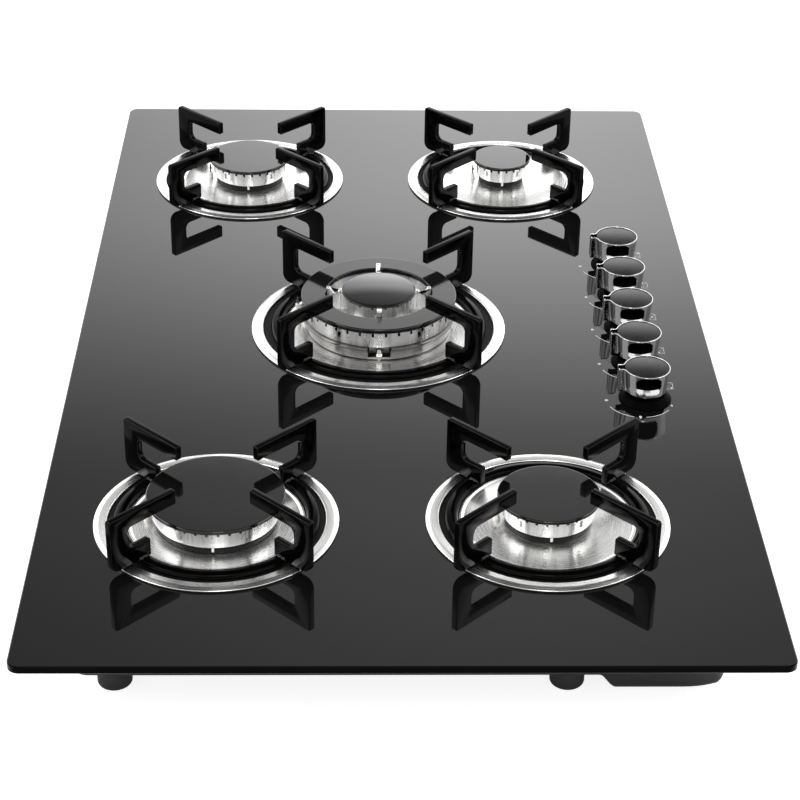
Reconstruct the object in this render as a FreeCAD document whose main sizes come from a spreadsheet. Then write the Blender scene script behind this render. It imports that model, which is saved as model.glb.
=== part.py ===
import FreeCAD, Part
import math
import os

import Sketcher

# Five-burner gas cooktop with a tempered glass top, in millimetres.
# +Z is up, +X is to the user's right and the knobs are at the front, towards -Y.
# The origin is under the middle of the glass, level with the bottom of the rubber feet.

SIZES = {
    # glass
    "glass_length": 900.0,
    "glass_depth": 510.0,
    "glass_thick": 6.0,
    "glass_corner": 8.0,
    "glass_bevel": 0.8,
    # worktop seal under the glass
    "seal_inset": 5.0,
    "seal_wide": 10.0,
    "seal_thick": 3.0,
    # bottom tray, with a deeper channel under the knobs
    "tray_sheet": 0.8,
    "tray_deep": 40.0,
    "tray_end_inset": 36.0,
    "tray_side_inset": 22.0,
    "tray_slope": 14.0,
    "flange_inset": 16.0,
    "channel_deep": 12.0,
    "channel_wide": 72.0,
    "channel_slope": 12.0,
    "channel_front_slope": 2.0,
    "channel_front_bend": 18.0,
    "tray_bend": 8.0,
    "clamp_end_inset": 150.0,
    "clamp_rear_inset": 55.0,
    "clamp_channel_gap": 33.0,
    "clamp_hole_r": 2.2,
    # rubber feet
    "foot_r": 12.0,
    "channel_clear": 4.0,
    "foot_end_inset": 64.0,
    "foot_rear_inset": 61.0,
    "foot_channel_gap": 20.0,
    # burner places
    "burner_end_inset": 166.0,
    "rear_row_inset": 126.0,
    "front_row_inset": 150.0,
    "wok_y": 12.0,
    # burner heads
    "rapid_cap_r": 49.0,
    "semi_cap_r": 36.5,
    "small_cap_r": 26.5,
    "cap_overhang": 3.6,
    "cap_thick": 3.0,
    "crown_base": 8.0,
    "crown_tall": 13.0,
    "port_wide": 2.0,
    "port_deep": 2.6,
    "port_long": 5.0,
    "collar_step": 2.0,
    "neck_r": 14.0,
    "neck_gap": 0.4,
    "neck_low": 16.0,
    # wok burner
    "wok_cap_r": 63.0,
    "wok_cap_hole_r": 43.0,
    "wok_cap_thick": 4.0,
    "wok_crown_r": 60.0,
    "wok_crown_base": 14.0,
    "wok_crown_tall": 14.0,
    "wok_plate_thick": 4.0,
    "wok_ring_inner_r": 46.0,
    "wok_hub_r": 27.5,
    "wok_hub_rise": 5.0,
    "wok_inner_cap_r": 30.0,
    "wok_inner_cap_thick": 3.6,
    "wok_inner_cap_edge": 1.4,
    "bridge_wide": 5.0,
    "bridge_rise": 1.0,
    "bridge_gap": 0.6,
    "wok_drum_r": 59.0,
    "wok_lip_r": 62.5,
    "wok_lip_thick": 2.5,
    "sensor_notch_wide": 18.0,
    "sensor_notch_deep": 7.0,
    # drip pans
    "pan_rim_r": 86.5,
    "wok_pan_rim_r": 103.6,
    "rim_wide": 9.9,
    "rim_slope": 2.6,
    "rim_tall": 2.8,
    "pan_sheet": 0.8,
    "glass_hole_margin": 9.0,
    # pan supports
    "ring_r": 73.4,
    "wok_ring_r": 88.0,
    "ring_wide": 10.2,
    "ring_thick": 4.0,
    "ring_seat": 0.3,
    "arm_thick": 5.0,
    "arm_reach": 96.5,
    "arm_tip_r": 38.0,
    "support_tall": 45.0,
    "wok_arm_reach": 111.5,
    "wok_arm_tip_r": 54.0,
    "wok_support_tall": 50.0,
    "post_wide": 15.0,
    "finger_tall": 11.0,
    "arm_foot": 3.4,
    "hook_top": 17.0,
    "hook_overlap": 1.3,
    "arm_heel_round": 7.0,
    "arm_slot_round": 5.0,
    # ignition electrodes and flame sensors
    "spark_body_r": 2.4,
    "spark_pin_wide": 1.6,
    "spark_gap": 1.0,
    "spark_body_top": 10.0,
    "spark_pin_top": 16.0,
    "wok_spark_rise": 12.0,
    "sensor_r": 1.6,
    "sensor_gap": 0.3,
    "sensor_clear": 0.2,
    # knobs, bezels, stems
    "knob_pitch": 56.5,
    "knob_front": 61.0,
    "knob_r": 18.0,
    "knob_base": 8.5,
    "knob_top": 28.0,
    "nose_reach": 22.3,
    "nose_root": 15.0,
    "nose_wide": 8.0,
    "nose_flare": 1.6,
    "slot_wide": 3.2,
    "slot_deep": 2.0,
    "scoop_r": 13.8,
    "scoop_low": 10.4,
    "scoop_slope": 6.4,
    "scoop_high": 26.2,
    "scoop_length": 21.0,
    "bezel_r": 20.5,
    "bezel_top_r": 15.6,
    "bezel_tall": 5.2,
    "stem_r": 4.0,
    "stem_fit": 0.1,
    "stem_pass": 0.6,
    "stem_end_gap": 0.3,
    "stem_top": 24.0,
    "stem_flat": 2.5,
    "stem_flat_low": 8.0,
    "stem_foot": 37.0,
    "glass_stem_hole_r": 7.5,
    # gas taps
    "tap_half": 13.0,
    "tap_top": 16.0,
    "tap_bottom": 52.0,
    "tap_bonnet_half": 10.0,
    "tap_bonnet_long": 17.0,
    "tap_bonnet_thick": 1.6,
    "tap_bore_clear": 0.3,
    "tap_bore_bottom": 46.0,
    "magnet_r": 7.0,
    "magnet_long": 18.0,
    "magnet_low": 40.0,
    "nut_r": 6.3,
    "nut_long": 12.0,
    "seat_thick": 4.0,
    "seat_dish": 1.5,
    # gas rail, inlet and pipes
    "rail_wide": 16.0,
    "rail_top": 28.0,
    "rail_left": 142.0,
    "inlet_end_inset": 100.0,
    "inlet_rear_inset": 55.0,
    "inlet_collar_r": 12.0,
    "inlet_collar_tall": 2.0,
    "inlet_thread_r": 10.48,
    "inlet_bore_r": 7.0,
    "inlet_thread_long": 13.0,
    "inlet_hole_gap": 1.0,
    "bracket_thick": 1.5,
    "bracket_wide": 14.0,
    "bracket_x": 85.0,
    "pipe_r": 3.0,
    "pipe_low": 21.0,
    "pipe_lead": 19.0,
    "pipe_end_gap": 0.1,
    "jet_r": 8.0,
    "jet_tall": 10.0,
    # pulse igniter
    "pulse_long": 74.0,
    "pulse_wide": 36.0,
    "pulse_tall": 24.0,
    "pulse_rear_inset": 77.0,
    "terminal_long": 6.0,
    "terminal_wide": 5.0,
    "terminal_tall": 5.0,
    "terminal_pitch": 13.0,
}

RAPID_PORTS = 24
SEMI_PORTS = 20
SMALL_PORTS = 14
WOK_OUTER_PORTS = 32
WOK_INNER_PORTS = 12

doc = FreeCAD.newDocument("gas_cooktop")
sheet = doc.addObject("Spreadsheet::Sheet", "Sizes")
for row, (alias, number) in enumerate(SIZES.items(), start=1):
    sheet.set("A%d" % row, alias)
    sheet.set("B%d" % row, str(number))
    sheet.setAlias("B%d" % row, alias)
doc.recompute()


class Size:
    """A length that knows its number and the sheet formula it follows."""

    def __init__(self, number, formula):
        self.number = number
        self.formula = formula

    def __add__(self, other):
        other = as_size(other)
        return Size(self.number + other.number, "(%s + %s)" % (self.formula, other.formula))

    def __sub__(self, other):
        other = as_size(other)
        return Size(self.number - other.number, "(%s - %s)" % (self.formula, other.formula))

    def __mul__(self, other):
        other = as_size(other)
        return Size(self.number * other.number, "(%s * %s)" % (self.formula, other.formula))

    def __truediv__(self, other):
        other = as_size(other)
        return Size(self.number / other.number, "(%s / %s)" % (self.formula, other.formula))

    def __radd__(self, other):
        return as_size(other) + self

    def __rsub__(self, other):
        return as_size(other) - self

    def __rmul__(self, other):
        return as_size(other) * self

    def __neg__(self):
        return Size(-self.number, "(0 - %s)" % self.formula)


def as_size(value):
    if isinstance(value, Size):
        return value
    return Size(float(value), "(%r)" % float(value))


def size(alias):
    return Size(SIZES[alias], "Sizes." + alias)


def bind(thing, name, value):
    """Set a property to a size and keep it tied to the sheet."""
    value = as_size(value)
    setattr(thing, name, value.number)
    thing.setExpression(name, value.formula)


def place(thing, x=0, y=0, z=0, turn=0):
    """Put a sub-part at three sizes, turned about Z by a number of degrees."""
    sizes = [as_size(value) for value in (x, y, z)]
    base = FreeCAD.Vector(*[value.number for value in sizes])
    thing.Placement = FreeCAD.Placement(base, FreeCAD.Rotation(FreeCAD.Vector(0, 0, 1), turn))
    for axis, value in zip("xyz", sizes):
        thing.setExpression(".Placement.Base." + axis, value.formula)


subparts = []


def subpart(thing, label):
    """Name an object as one of the separate pieces that are written out."""
    thing.Label = label
    subparts.append(thing)
    return thing


# ---- sketches ----


def body_at(name, x=0, y=0, z=0, turn=0):
    body = doc.addObject("PartDesign::Body", name)
    place(body, x, y, z, turn)
    return body


def origin_feature(body, role):
    return [feature for feature in body.Origin.OriginFeatures if feature.Role == role][0]


def sketch_on(body, plane, height=0):
    """Empty sketch on one of the body's own planes, lifted along the plane's normal."""
    sketch = body.newObject("Sketcher::SketchObject", body.Name + "_sketch")
    sketch.AttachmentSupport = [(origin_feature(body, plane), "")]
    sketch.MapMode = "FlatFace"
    height = as_size(height)
    sketch.AttachmentOffset = FreeCAD.Placement(FreeCAD.Vector(0, 0, height.number), FreeCAD.Rotation())
    sketch.setExpression(".AttachmentOffset.Base.z", height.formula)
    return sketch


def pin_point(sketch, geometry, point, x, y):
    """Fix a point of the sketch at two sizes."""
    for kind, value, axis in (("DistanceX", as_size(x), -2), ("DistanceY", as_size(y), -1)):
        if abs(value.number) < 1e-9:
            sketch.addConstraint(Sketcher.Constraint("PointOnObject", geometry, point, axis))
        else:
            index = sketch.addConstraint(Sketcher.Constraint(kind, -1, 1, geometry, point, value.number))
            sketch.setExpression("Constraints[%d]" % index, value.formula)


def loop(sketch, corners):
    """Closed outline. A corner is (x, y), or (x, y, rounding) where level and upright edges meet."""
    points = [[as_size(value) for value in corner] for corner in corners]
    path = []
    for index, corner in enumerate(points):
        before = points[index - 1]
        after = points[(index + 1) % len(points)]
        if len(corner) == 2:
            path.append((corner[0], corner[1]))
            continue
        x, y, radius = corner
        way_in = [math.copysign(1, round(corner[k].number - before[k].number, 6))
                  if abs(corner[k].number - before[k].number) > 1e-6 else 0 for k in (0, 1)]
        way_out = [math.copysign(1, round(after[k].number - corner[k].number, 6))
                   if abs(after[k].number - corner[k].number) > 1e-6 else 0 for k in (0, 1)]
        left_turn = way_in[0] * way_out[1] - way_in[1] * way_out[0] > 0
        start = (x - radius * way_in[0], y - radius * way_in[1])
        end = (x + radius * way_out[0], y + radius * way_out[1])
        centre = (start[0] + radius * way_out[0], start[1] + radius * way_out[1])
        path.append((start[0], start[1], radius, centre, end, left_turn))
    first = sketch.GeometryCount
    starts = []
    for index, step in enumerate(path):
        after = path[(index + 1) % len(path)]
        leave = step[4] if len(step) > 2 else step
        if len(step) > 2:
            starts.append(arc(sketch, step))
        begin = FreeCAD.Vector(leave[0].number, leave[1].number, 0)
        finish = FreeCAD.Vector(after[0].number, after[1].number, 0)
        line = sketch.addGeometry(Part.LineSegment(begin, finish), False)
        if len(step) > 2:
            geometry, tail = starts[-1][0], starts[-1][2]
            sketch.addConstraint(Sketcher.Constraint("Coincident", geometry, tail, line, 1))
        else:
            pin_point(sketch, line, 1, step[0], step[1])
            starts.append((line, 1, 1))
        starts[-1] = starts[-1] + (line,)
    for index, entry in enumerate(starts):
        after = starts[(index + 1) % len(starts)]
        sketch.addConstraint(Sketcher.Constraint("Coincident", entry[3], 2, after[0], after[1]))
    return first


def arc(sketch, step):
    """Quarter arc at a rounded corner; gives its index and the point numbers of its start and end."""
    start_x, start_y, radius, centre, end, left_turn = step
    middle = FreeCAD.Vector(centre[0].number, centre[1].number, 0)
    head = math.atan2(start_y.number - middle.y, start_x.number - middle.x)
    tail = math.atan2(end[1].number - middle.y, end[0].number - middle.x)
    if not left_turn:
        head, tail = tail, head
    if tail < head:
        tail += 2 * math.pi
    circle = Part.Circle(middle, FreeCAD.Vector(0, 0, 1), radius.number)
    geometry = sketch.addGeometry(Part.ArcOfCircle(circle, head, tail), False)
    first, last = (1, 2) if left_turn else (2, 1)
    pin_point(sketch, geometry, first, start_x, start_y)
    pin_point(sketch, geometry, last, end[0], end[1])
    index = sketch.addConstraint(Sketcher.Constraint("Radius", geometry, radius.number))
    sketch.setExpression("Constraints[%d]" % index, radius.formula)
    return (geometry, first, last)


def box_loop(sketch, low_x, low_y, high_x, high_y, rounding=None):
    corners = [(low_x, low_y), (high_x, low_y), (high_x, high_y), (low_x, high_y)]
    if rounding is not None:
        corners = [corner + (rounding,) for corner in corners]
    return loop(sketch, corners)


def circle(sketch, x, y, radius):
    x, y, radius = as_size(x), as_size(y), as_size(radius)
    ring = Part.Circle(FreeCAD.Vector(x.number, y.number, 0), FreeCAD.Vector(0, 0, 1), radius.number)
    geometry = sketch.addGeometry(ring, False)
    pin_point(sketch, geometry, 3, x, y)
    index = sketch.addConstraint(Sketcher.Constraint("Radius", geometry, radius.number))
    sketch.setExpression("Constraints[%d]" % index, radius.formula)


# ---- features ----


def pad(body, sketch, length, symmetric=False, reverse=False):
    feature = body.newObject("PartDesign::Pad", body.Name + "_pad")
    feature.Profile = sketch
    feature.SideType = "Symmetric" if symmetric else "One side"
    feature.Reversed = reverse
    bind(feature, "Length", length)
    return feature


def pocket(body, sketch, length=None, symmetric=False, reverse=False):
    feature = body.newObject("PartDesign::Pocket", body.Name + "_pocket")
    feature.Profile = sketch
    feature.SideType = "Symmetric" if symmetric else "One side"
    feature.Reversed = reverse
    if length is None:
        feature.Type = "ThroughAll"
    else:
        bind(feature, "Length", length)
    return feature


def revolve(body, corners):
    """Turn a closed profile of (radius, height) corners about the body's own upright axis."""
    sketch = sketch_on(body, "XZ_Plane")
    loop(sketch, corners)
    feature = body.newObject("PartDesign::Revolution", body.Name + "_revolution")
    feature.Profile = sketch
    feature.ReferenceAxis = (sketch, ["V_Axis"])
    feature.Angle = 360
    return feature


def around(body, feature, count):
    """Repeat a feature in a full circle about the body's upright axis."""
    pattern = body.newObject("PartDesign::PolarPattern", body.Name + "_pattern")
    pattern.Originals = [feature]
    pattern.Axis = (origin_feature(body, "Z_Axis"), [""])
    pattern.Angle = 360
    pattern.Occurrences = count
    body.Tip = pattern
    return pattern


def edges_where(feature, test):
    """Names of the edges whose middle point and direction pass a test."""
    doc.recompute()
    names = []
    for number, edge in enumerate(feature.Shape.Edges, start=1):
        middle = edge.valueAt((edge.FirstParameter + edge.LastParameter) / 2)
        along = edge.tangentAt((edge.FirstParameter + edge.LastParameter) / 2)
        if test(middle, along):
            names.append("Edge%d" % number)
    return names


def dress(body, kind, feature, names, value):
    """Fillet or chamfer the named edges of a feature."""
    trim = body.newObject("PartDesign::" + kind, body.Name + "_" + kind.lower())
    trim.Base = (feature, names)
    bind(trim, "Radius" if kind == "Fillet" else "Size", value)
    return trim


def copies(label, original, spots):
    """Like pieces at several places, kept as separate solids of one sub-part."""
    links = []
    for index, (x, y, z) in enumerate(spots):
        link = doc.addObject("App::Link", "%s_%d" % (label, index + 1))
        link.LinkedObject = original
        place(link, x, y, z)
        links.append(link)
    group = doc.addObject("Part::Compound", label)
    group.Links = links
    return subpart(group, label)


# ---- levels and places that several pieces share ----

tray_floor = size("channel_clear") + size("channel_deep")
glass_under = tray_floor + size("tray_deep")
glass_top = glass_under + size("glass_thick")
half_length = size("glass_length") / 2
half_depth = size("glass_depth") / 2
knob_y = size("knob_front") - half_depth
burner_x = half_length - size("burner_end_inset")
rear_row = half_depth - size("rear_row_inset")
front_row = size("front_row_inset") - half_depth
inlet_x = half_length - size("inlet_end_inset")
inlet_y = half_depth - size("inlet_rear_inset")
rear_foot = half_depth - size("tray_side_inset") - size("tray_slope")
front_foot = rear_foot - size("channel_front_slope")
channel_rear = size("channel_wide") - front_foot
channel_top = channel_rear + size("channel_slope")
KNOB_SPOTS = [size("knob_pitch") * step for step in (-2, -1, 0, 1, 2)]

# name, x, y, kind of burner
BURNERS = [
    ("rear_left", -burner_x, rear_row, "rapid"),
    ("front_left", -burner_x, front_row, "semi"),
    ("rear_right", burner_x, rear_row, "semi"),
    ("front_right", burner_x, front_row, "small"),
]
CAP_R = {"rapid": size("rapid_cap_r"), "semi": size("semi_cap_r"), "small": size("small_cap_r")}
PORTS = {"rapid": RAPID_PORTS, "semi": SEMI_PORTS, "small": SMALL_PORTS}


def crown_radius(kind):
    return CAP_R[kind] - size("cap_overhang")


def spots_of(kind):
    return [(x, y, glass_top) for name, x, y, own_kind in BURNERS if own_kind == kind]


# ---- glass top ----


def make_glass():
    body = body_at("glass_top", z=glass_under)
    plate = sketch_on(body, "XY_Plane")
    box_loop(plate, -half_length, -half_depth, half_length, half_depth, size("glass_corner"))
    pad(body, plate, size("glass_thick"))
    holes = sketch_on(body, "XY_Plane", size("glass_thick"))
    for name, x, y, kind in BURNERS:
        circle(holes, x, y, crown_radius(kind) + size("glass_hole_margin"))
    circle(holes, 0, size("wok_y"), size("wok_crown_r") + size("glass_hole_margin"))
    for x in KNOB_SPOTS:
        circle(holes, x, knob_y, size("glass_stem_hole_r"))
    bored = pocket(body, holes)
    rim_x = SIZES["glass_length"] / 2 - SIZES["glass_corner"]
    rim_y = SIZES["glass_depth"] / 2 - SIZES["glass_corner"]
    names = edges_where(bored, lambda at, along: abs(along.z) < 0.01
                        and (abs(at.x) > rim_x or abs(at.y) > rim_y))
    dress(body, "Chamfer", bored, names, size("glass_bevel"))
    return subpart(body, "glass_top")


def make_seal():
    body = body_at("counter_seal", z=glass_under - size("seal_thick"))
    sketch = sketch_on(body, "XY_Plane")
    outer_x = half_length - size("seal_inset")
    outer_y = half_depth - size("seal_inset")
    inner_x = outer_x - size("seal_wide")
    inner_y = outer_y - size("seal_wide")
    box_loop(sketch, -outer_x, -outer_y, outer_x, outer_y)
    box_loop(sketch, -inner_x, -inner_y, inner_x, inner_y)
    pad(body, sketch, size("seal_thick"))
    return subpart(body, "counter_seal")


# ---- bottom tray ----


def make_tray():
    body = body_at("base_tray")
    wall_top = half_depth - size("tray_side_inset")
    channel_floor = size("channel_clear")
    half_tray = half_length - size("tray_end_inset")
    section = sketch_on(body, "YZ_Plane")
    loop(section, [
        (-wall_top, glass_under),
        (-front_foot, channel_floor),
        (channel_rear, channel_floor),
        (channel_top, tray_floor),
        (rear_foot, tray_floor),
        (wall_top, glass_under),
    ])
    block = pad(body, section, half_tray * 2, symmetric=True)

    def lengthwise(y, z):
        return lambda at, along: abs(along.x) > 0.99 and abs(at.y - y) < 0.1 and abs(at.z - z) < 0.1

    front_edge = edges_where(block, lengthwise(-front_foot.number, channel_floor.number))
    bent = dress(body, "Fillet", block, front_edge, size("channel_front_bend"))
    others = edges_where(bent, lengthwise(channel_rear.number, channel_floor.number))
    others += edges_where(bent, lengthwise(channel_top.number, tray_floor.number))
    others += edges_where(bent, lengthwise(rear_foot.number, tray_floor.number))
    dress(body, "Fillet", bent, others, size("tray_bend"))
    ends = sketch_on(body, "XZ_Plane")
    end_run = size("tray_slope") / size("tray_deep")
    for side in (-1, 1):
        loop(ends, [
            (half_tray * side, glass_under),
            ((half_tray + 1) * side, glass_under),
            ((half_tray + 1) * side, 0),
            ((half_tray - end_run * glass_under) * side, 0),
        ])
    sloped = pocket(body, ends, half_depth * 2, symmetric=True)
    doc.recompute()
    top_face = [name for name, face in
                (("Face%d" % (index + 1), face) for index, face in enumerate(sloped.Shape.Faces))
                if abs(face.CenterOfMass.z - glass_under.number) < 0.01][0]
    shell = body.newObject("PartDesign::Thickness", "base_tray_shell")
    shell.Base = (sloped, [top_face])
    bind(shell, "Value", size("tray_sheet"))
    shell.Reversed = True
    shell.Mode = "Skin"
    shell.Join = "Arc"

    flange = sketch_on(body, "XY_Plane", glass_under - size("tray_sheet"))
    box_loop(flange, size("flange_inset") - half_length, size("flange_inset") - half_depth,
             half_length - size("flange_inset"), half_depth - size("flange_inset"))
    inner_x = half_tray - size("tray_sheet")
    inner_y = wall_top - size("tray_sheet")
    box_loop(flange, -inner_x, -inner_y, inner_x, inner_y)
    pad(body, flange, size("tray_sheet"))

    openings = sketch_on(body, "XY_Plane", tray_floor + size("tray_sheet"))
    circle(openings, inlet_x, inlet_y, size("inlet_collar_r") + size("inlet_hole_gap"))
    clamp_x = half_length - size("clamp_end_inset")
    for side in (-1, 1):
        for y in (half_depth - size("clamp_rear_inset"), channel_top + size("clamp_channel_gap")):
            circle(openings, clamp_x * side, y, size("clamp_hole_r"))
    pocket(body, openings)
    return subpart(body, "base_tray")


def make_feet():
    foot = body_at("foot")
    revolve(foot, [(0, 0), (size("foot_r"), 0), (size("foot_r"), tray_floor), (0, tray_floor)])
    foot_x = half_length - size("foot_end_inset")
    spots = [(foot_x * side, y, 0) for side in (-1, 1)
             for y in (half_depth - size("foot_rear_inset"), channel_top + size("foot_channel_gap"))]
    copies("rubber_feet", foot, spots)


# ---- drip pans ----


def pan_profile(rim_r):
    """Thin dish with a raised rim; the rim's low inner side makes the groove that a pan support sits in."""
    hole_r = size("neck_r") + size("neck_gap")
    return [
        (hole_r, 0),
        (rim_r, 0),
        (rim_r - size("rim_slope"), size("rim_tall")),
        (rim_r - size("rim_wide"), size("pan_sheet")),
        (hole_r, size("pan_sheet")),
    ]


def make_pans():
    pan = body_at("pan")
    revolve(pan, pan_profile(size("pan_rim_r")))
    copies("drip_pans", pan, [(x, y, glass_top) for name, x, y, kind in BURNERS])
    wok = body_at("drip_pan_wok", 0, size("wok_y"), glass_top)
    revolve(wok, pan_profile(size("wok_pan_rim_r")))
    subpart(wok, "drip_pan_wok")


# ---- burner bases, crowns and caps ----


def make_bases():
    """Injector cups: a neck through the glass, and a collar on the drip pan that carries the crown."""
    bases = []
    for name, x, y, kind in BURNERS:
        collar_r = crown_radius(kind) - size("collar_step")
        body = body_at("base_" + name, x, y, glass_top)
        revolve(body, [
            (0, -size("neck_low")),
            (size("neck_r"), -size("neck_low")),
            (size("neck_r"), size("pan_sheet")),
            (collar_r, size("pan_sheet")),
            (collar_r, size("crown_base")),
            (0, size("crown_base")),
        ])
        bases.append(body)
    group = doc.addObject("Part::Compound", "burner_bases")
    group.Links = bases
    subpart(group, "burner_bases")


def cut_ports(body, outer_r, top, count):
    """Flame ports: short level slots cut into the top edge of a crown."""
    sketch = sketch_on(body, "XZ_Plane")
    box_loop(sketch, outer_r - size("port_long"), top - size("port_deep"),
             outer_r + size("port_wide"), top + size("port_wide"))
    slot = pocket(body, sketch, size("port_wide"), symmetric=True)
    around(body, slot, count)


def make_crowns():
    """Flame spreaders of the four plain burners."""
    top = size("crown_base") + size("crown_tall")
    crowns = []
    for name, x, y, kind in BURNERS:
        radius = crown_radius(kind)
        body = body_at("crown_" + name, x, y, glass_top)
        revolve(body, [(0, size("crown_base")), (radius, size("crown_base")), (radius, top), (0, top)])
        cut_ports(body, radius, top, PORTS[kind])
        crowns.append(body)
    group = doc.addObject("Part::Compound", "burner_crowns")
    group.Links = crowns
    subpart(group, "burner_crowns")


def make_cap(label, x, y, radius):
    base = size("crown_base") + size("crown_tall")
    top = base + size("cap_thick")
    body = body_at(label, x, y, glass_top)
    revolve(body, [(0, base), (radius, base), (radius, top), (0, top)])
    subpart(body, label)


def make_wok_burner():
    base = size("wok_crown_base")
    ring_top = base + size("wok_crown_tall")
    plate_top = base + size("wok_plate_thick")
    hub_top = ring_top + size("wok_hub_rise")

    cup = body_at("burner_base_wok", 0, size("wok_y"), glass_top)
    lip_low = base - size("wok_lip_thick")
    revolve(cup, [
        (0, -size("neck_low")),
        (size("neck_r"), -size("neck_low")),
        (size("neck_r"), size("pan_sheet")),
        (size("wok_drum_r"), size("pan_sheet")),
        (size("wok_drum_r"), lip_low),
        (size("wok_lip_r"), lip_low),
        (size("wok_lip_r"), base),
        (0, base),
    ])
    notch = sketch_on(cup, "XY_Plane", lip_low)
    half_notch = size("sensor_notch_wide") / 2
    box_loop(notch, -size("wok_drum_r") - 1, -half_notch,
             size("sensor_notch_deep") - size("wok_drum_r"), half_notch)
    pocket(cup, notch, lip_low - size("pan_sheet"))
    subpart(cup, "burner_base_wok")

    crown = body_at("crown_wok", 0, size("wok_y"), glass_top)
    revolve(crown, [
        (0, base),
        (size("wok_crown_r"), base),
        (size("wok_crown_r"), ring_top),
        (size("wok_ring_inner_r"), ring_top),
        (size("wok_ring_inner_r"), plate_top),
        (size("wok_hub_r"), plate_top),
        (size("wok_hub_r"), hub_top),
        (0, hub_top),
    ])
    cut_ports(crown, size("wok_crown_r"), ring_top, WOK_OUTER_PORTS)
    cut_ports(crown, size("wok_hub_r"), hub_top, WOK_INNER_PORTS)
    bridge = sketch_on(crown, "XZ_Plane")
    hub_side = size("wok_hub_r") - size("port_long")
    cap_side = size("wok_inner_cap_r") + size("bridge_gap")
    ring_side = size("wok_cap_hole_r") - size("bridge_gap")
    loop(bridge, [
        (hub_side, base + size("wok_plate_thick") / 2),
        (size("wok_ring_inner_r") + 1, base + size("wok_plate_thick") / 2),
        (size("wok_ring_inner_r") + 1, ring_top - size("port_deep")),
        (ring_side, ring_top - size("port_deep")),
        (ring_side, hub_top + size("bridge_rise")),
        (cap_side, hub_top + size("bridge_rise")),
        (cap_side, hub_top - size("port_deep")),
        (hub_side, hub_top - size("port_deep")),
    ])
    around(crown, pad(crown, bridge, size("bridge_wide"), symmetric=True), 4)
    subpart(crown, "crown_wok")

    ring_cap = body_at("cap_wok_outer", 0, size("wok_y"), glass_top)
    cap_top = ring_top + size("wok_cap_thick")
    revolve(ring_cap, [
        (size("wok_cap_hole_r"), ring_top),
        (size("wok_cap_r"), ring_top),
        (size("wok_cap_r"), cap_top),
        (size("wok_cap_hole_r"), cap_top),
    ])
    subpart(ring_cap, "cap_wok_outer")

    inner_cap = body_at("cap_wok_inner", 0, size("wok_y"), glass_top)
    inner_top = hub_top + size("wok_inner_cap_thick")
    edge = size("wok_inner_cap_edge")
    revolve(inner_cap, [
        (0, hub_top),
        (size("wok_inner_cap_r"), hub_top),
        (size("wok_inner_cap_r"), inner_top - edge),
        (size("wok_inner_cap_r") - edge * 2, inner_top),
        (0, inner_top),
    ])
    subpart(inner_cap, "cap_wok_inner")


def make_burners():
    make_bases()
    make_crowns()
    for name, x, y, kind in BURNERS:
        make_cap("cap_" + name, x, y, CAP_R[kind])
    make_wok_burner()


# ---- pan supports: a flat ring that carries four C-shaped arms ----


def make_support(label, x, y, ring_r, reach, tip_r, top):
    body = body_at(label, x, y, glass_top, turn=45)
    ring_low = size("pan_sheet") + size("ring_seat")
    ring_top = ring_low + size("ring_thick")
    ring_inner = ring_r - size("ring_wide")
    revolve(body, [(ring_inner, ring_low), (ring_r, ring_low), (ring_r, ring_top), (ring_inner, ring_top)])
    sketch = sketch_on(body, "XZ_Plane")
    hook_r = ring_inner - size("hook_overlap")
    slot_r = reach - size("post_wide")
    finger_low = top - size("finger_tall")
    loop(sketch, [
        (hook_r, size("arm_foot")),
        (reach, size("arm_foot"), size("arm_heel_round")),
        (reach, top),
        (tip_r, top),
        (tip_r, finger_low),
        (slot_r, finger_low, size("arm_slot_round")),
        (slot_r, size("hook_top"), size("arm_slot_round")),
        (hook_r, size("hook_top")),
    ])
    around(body, pad(body, sketch, size("arm_thick"), symmetric=True), 4)
    subpart(body, label)


def make_supports():
    for name, x, y, kind in BURNERS:
        make_support("pan_support_" + name, x, y, size("ring_r"), size("arm_reach"),
                     size("arm_tip_r"), size("support_tall"))
    make_support("pan_support_wok", 0, size("wok_y"), size("wok_ring_r"), size("wok_arm_reach"),
                 size("wok_arm_tip_r"), size("wok_support_tall"))


# ---- ignition electrodes and flame sensors ----


def make_spark(name, x, y, crown_r, rise):
    """Ceramic body on the drip pan with the electrode's tip above it."""
    centre = crown_r + size("spark_body_r") + size("spark_gap")
    body = body_at("spark_" + name, x, y + centre, glass_top)
    body_top = size("spark_body_top") + rise
    revolve(body, [
        (0, size("pan_sheet")),
        (size("spark_body_r"), size("pan_sheet")),
        (size("spark_body_r"), body_top),
        (0, body_top),
    ])
    tip = sketch_on(body, "XY_Plane", body_top)
    half = size("spark_pin_wide") / 2
    box_loop(tip, -half, -half, half, half)
    pad(body, tip, size("spark_pin_top") - size("spark_body_top"))
    return body


def make_sensor(name, x, y, top):
    """Eight-sided stand-in for a thin round pin."""
    pin = doc.addObject("Part::Prism", "sensor_" + name)
    pin.Polygon = 8
    bind(pin, "Circumradius", size("sensor_r"))
    bind(pin, "Height", top - size("pan_sheet"))
    place(pin, x, y, glass_top + size("pan_sheet"))
    return pin


def make_ignition():
    sparks = []
    sensors = []
    for name, x, y, kind in BURNERS:
        crown_r = crown_radius(kind)
        sparks.append(make_spark(name, x, y, crown_r, 0))
        sensor_at = crown_r - size("collar_step") + size("sensor_r") + size("sensor_clear")
        sensors.append(make_sensor(name, x + sensor_at, y, size("crown_base") - size("sensor_gap")))
    sparks.append(make_spark("wok", 0, size("wok_y"), size("wok_lip_r"), size("wok_spark_rise")))
    sensor_at = size("wok_drum_r") - size("sensor_notch_deep") / 2
    sensors.append(make_sensor("wok", -sensor_at, size("wok_y"),
                               size("wok_crown_base") - size("wok_lip_thick") - size("sensor_gap")))
    for label, pieces in (("igniters", sparks), ("flame_sensors", sensors)):
        group = doc.addObject("Part::Compound", label)
        group.Links = pieces
        subpart(group, label)


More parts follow.
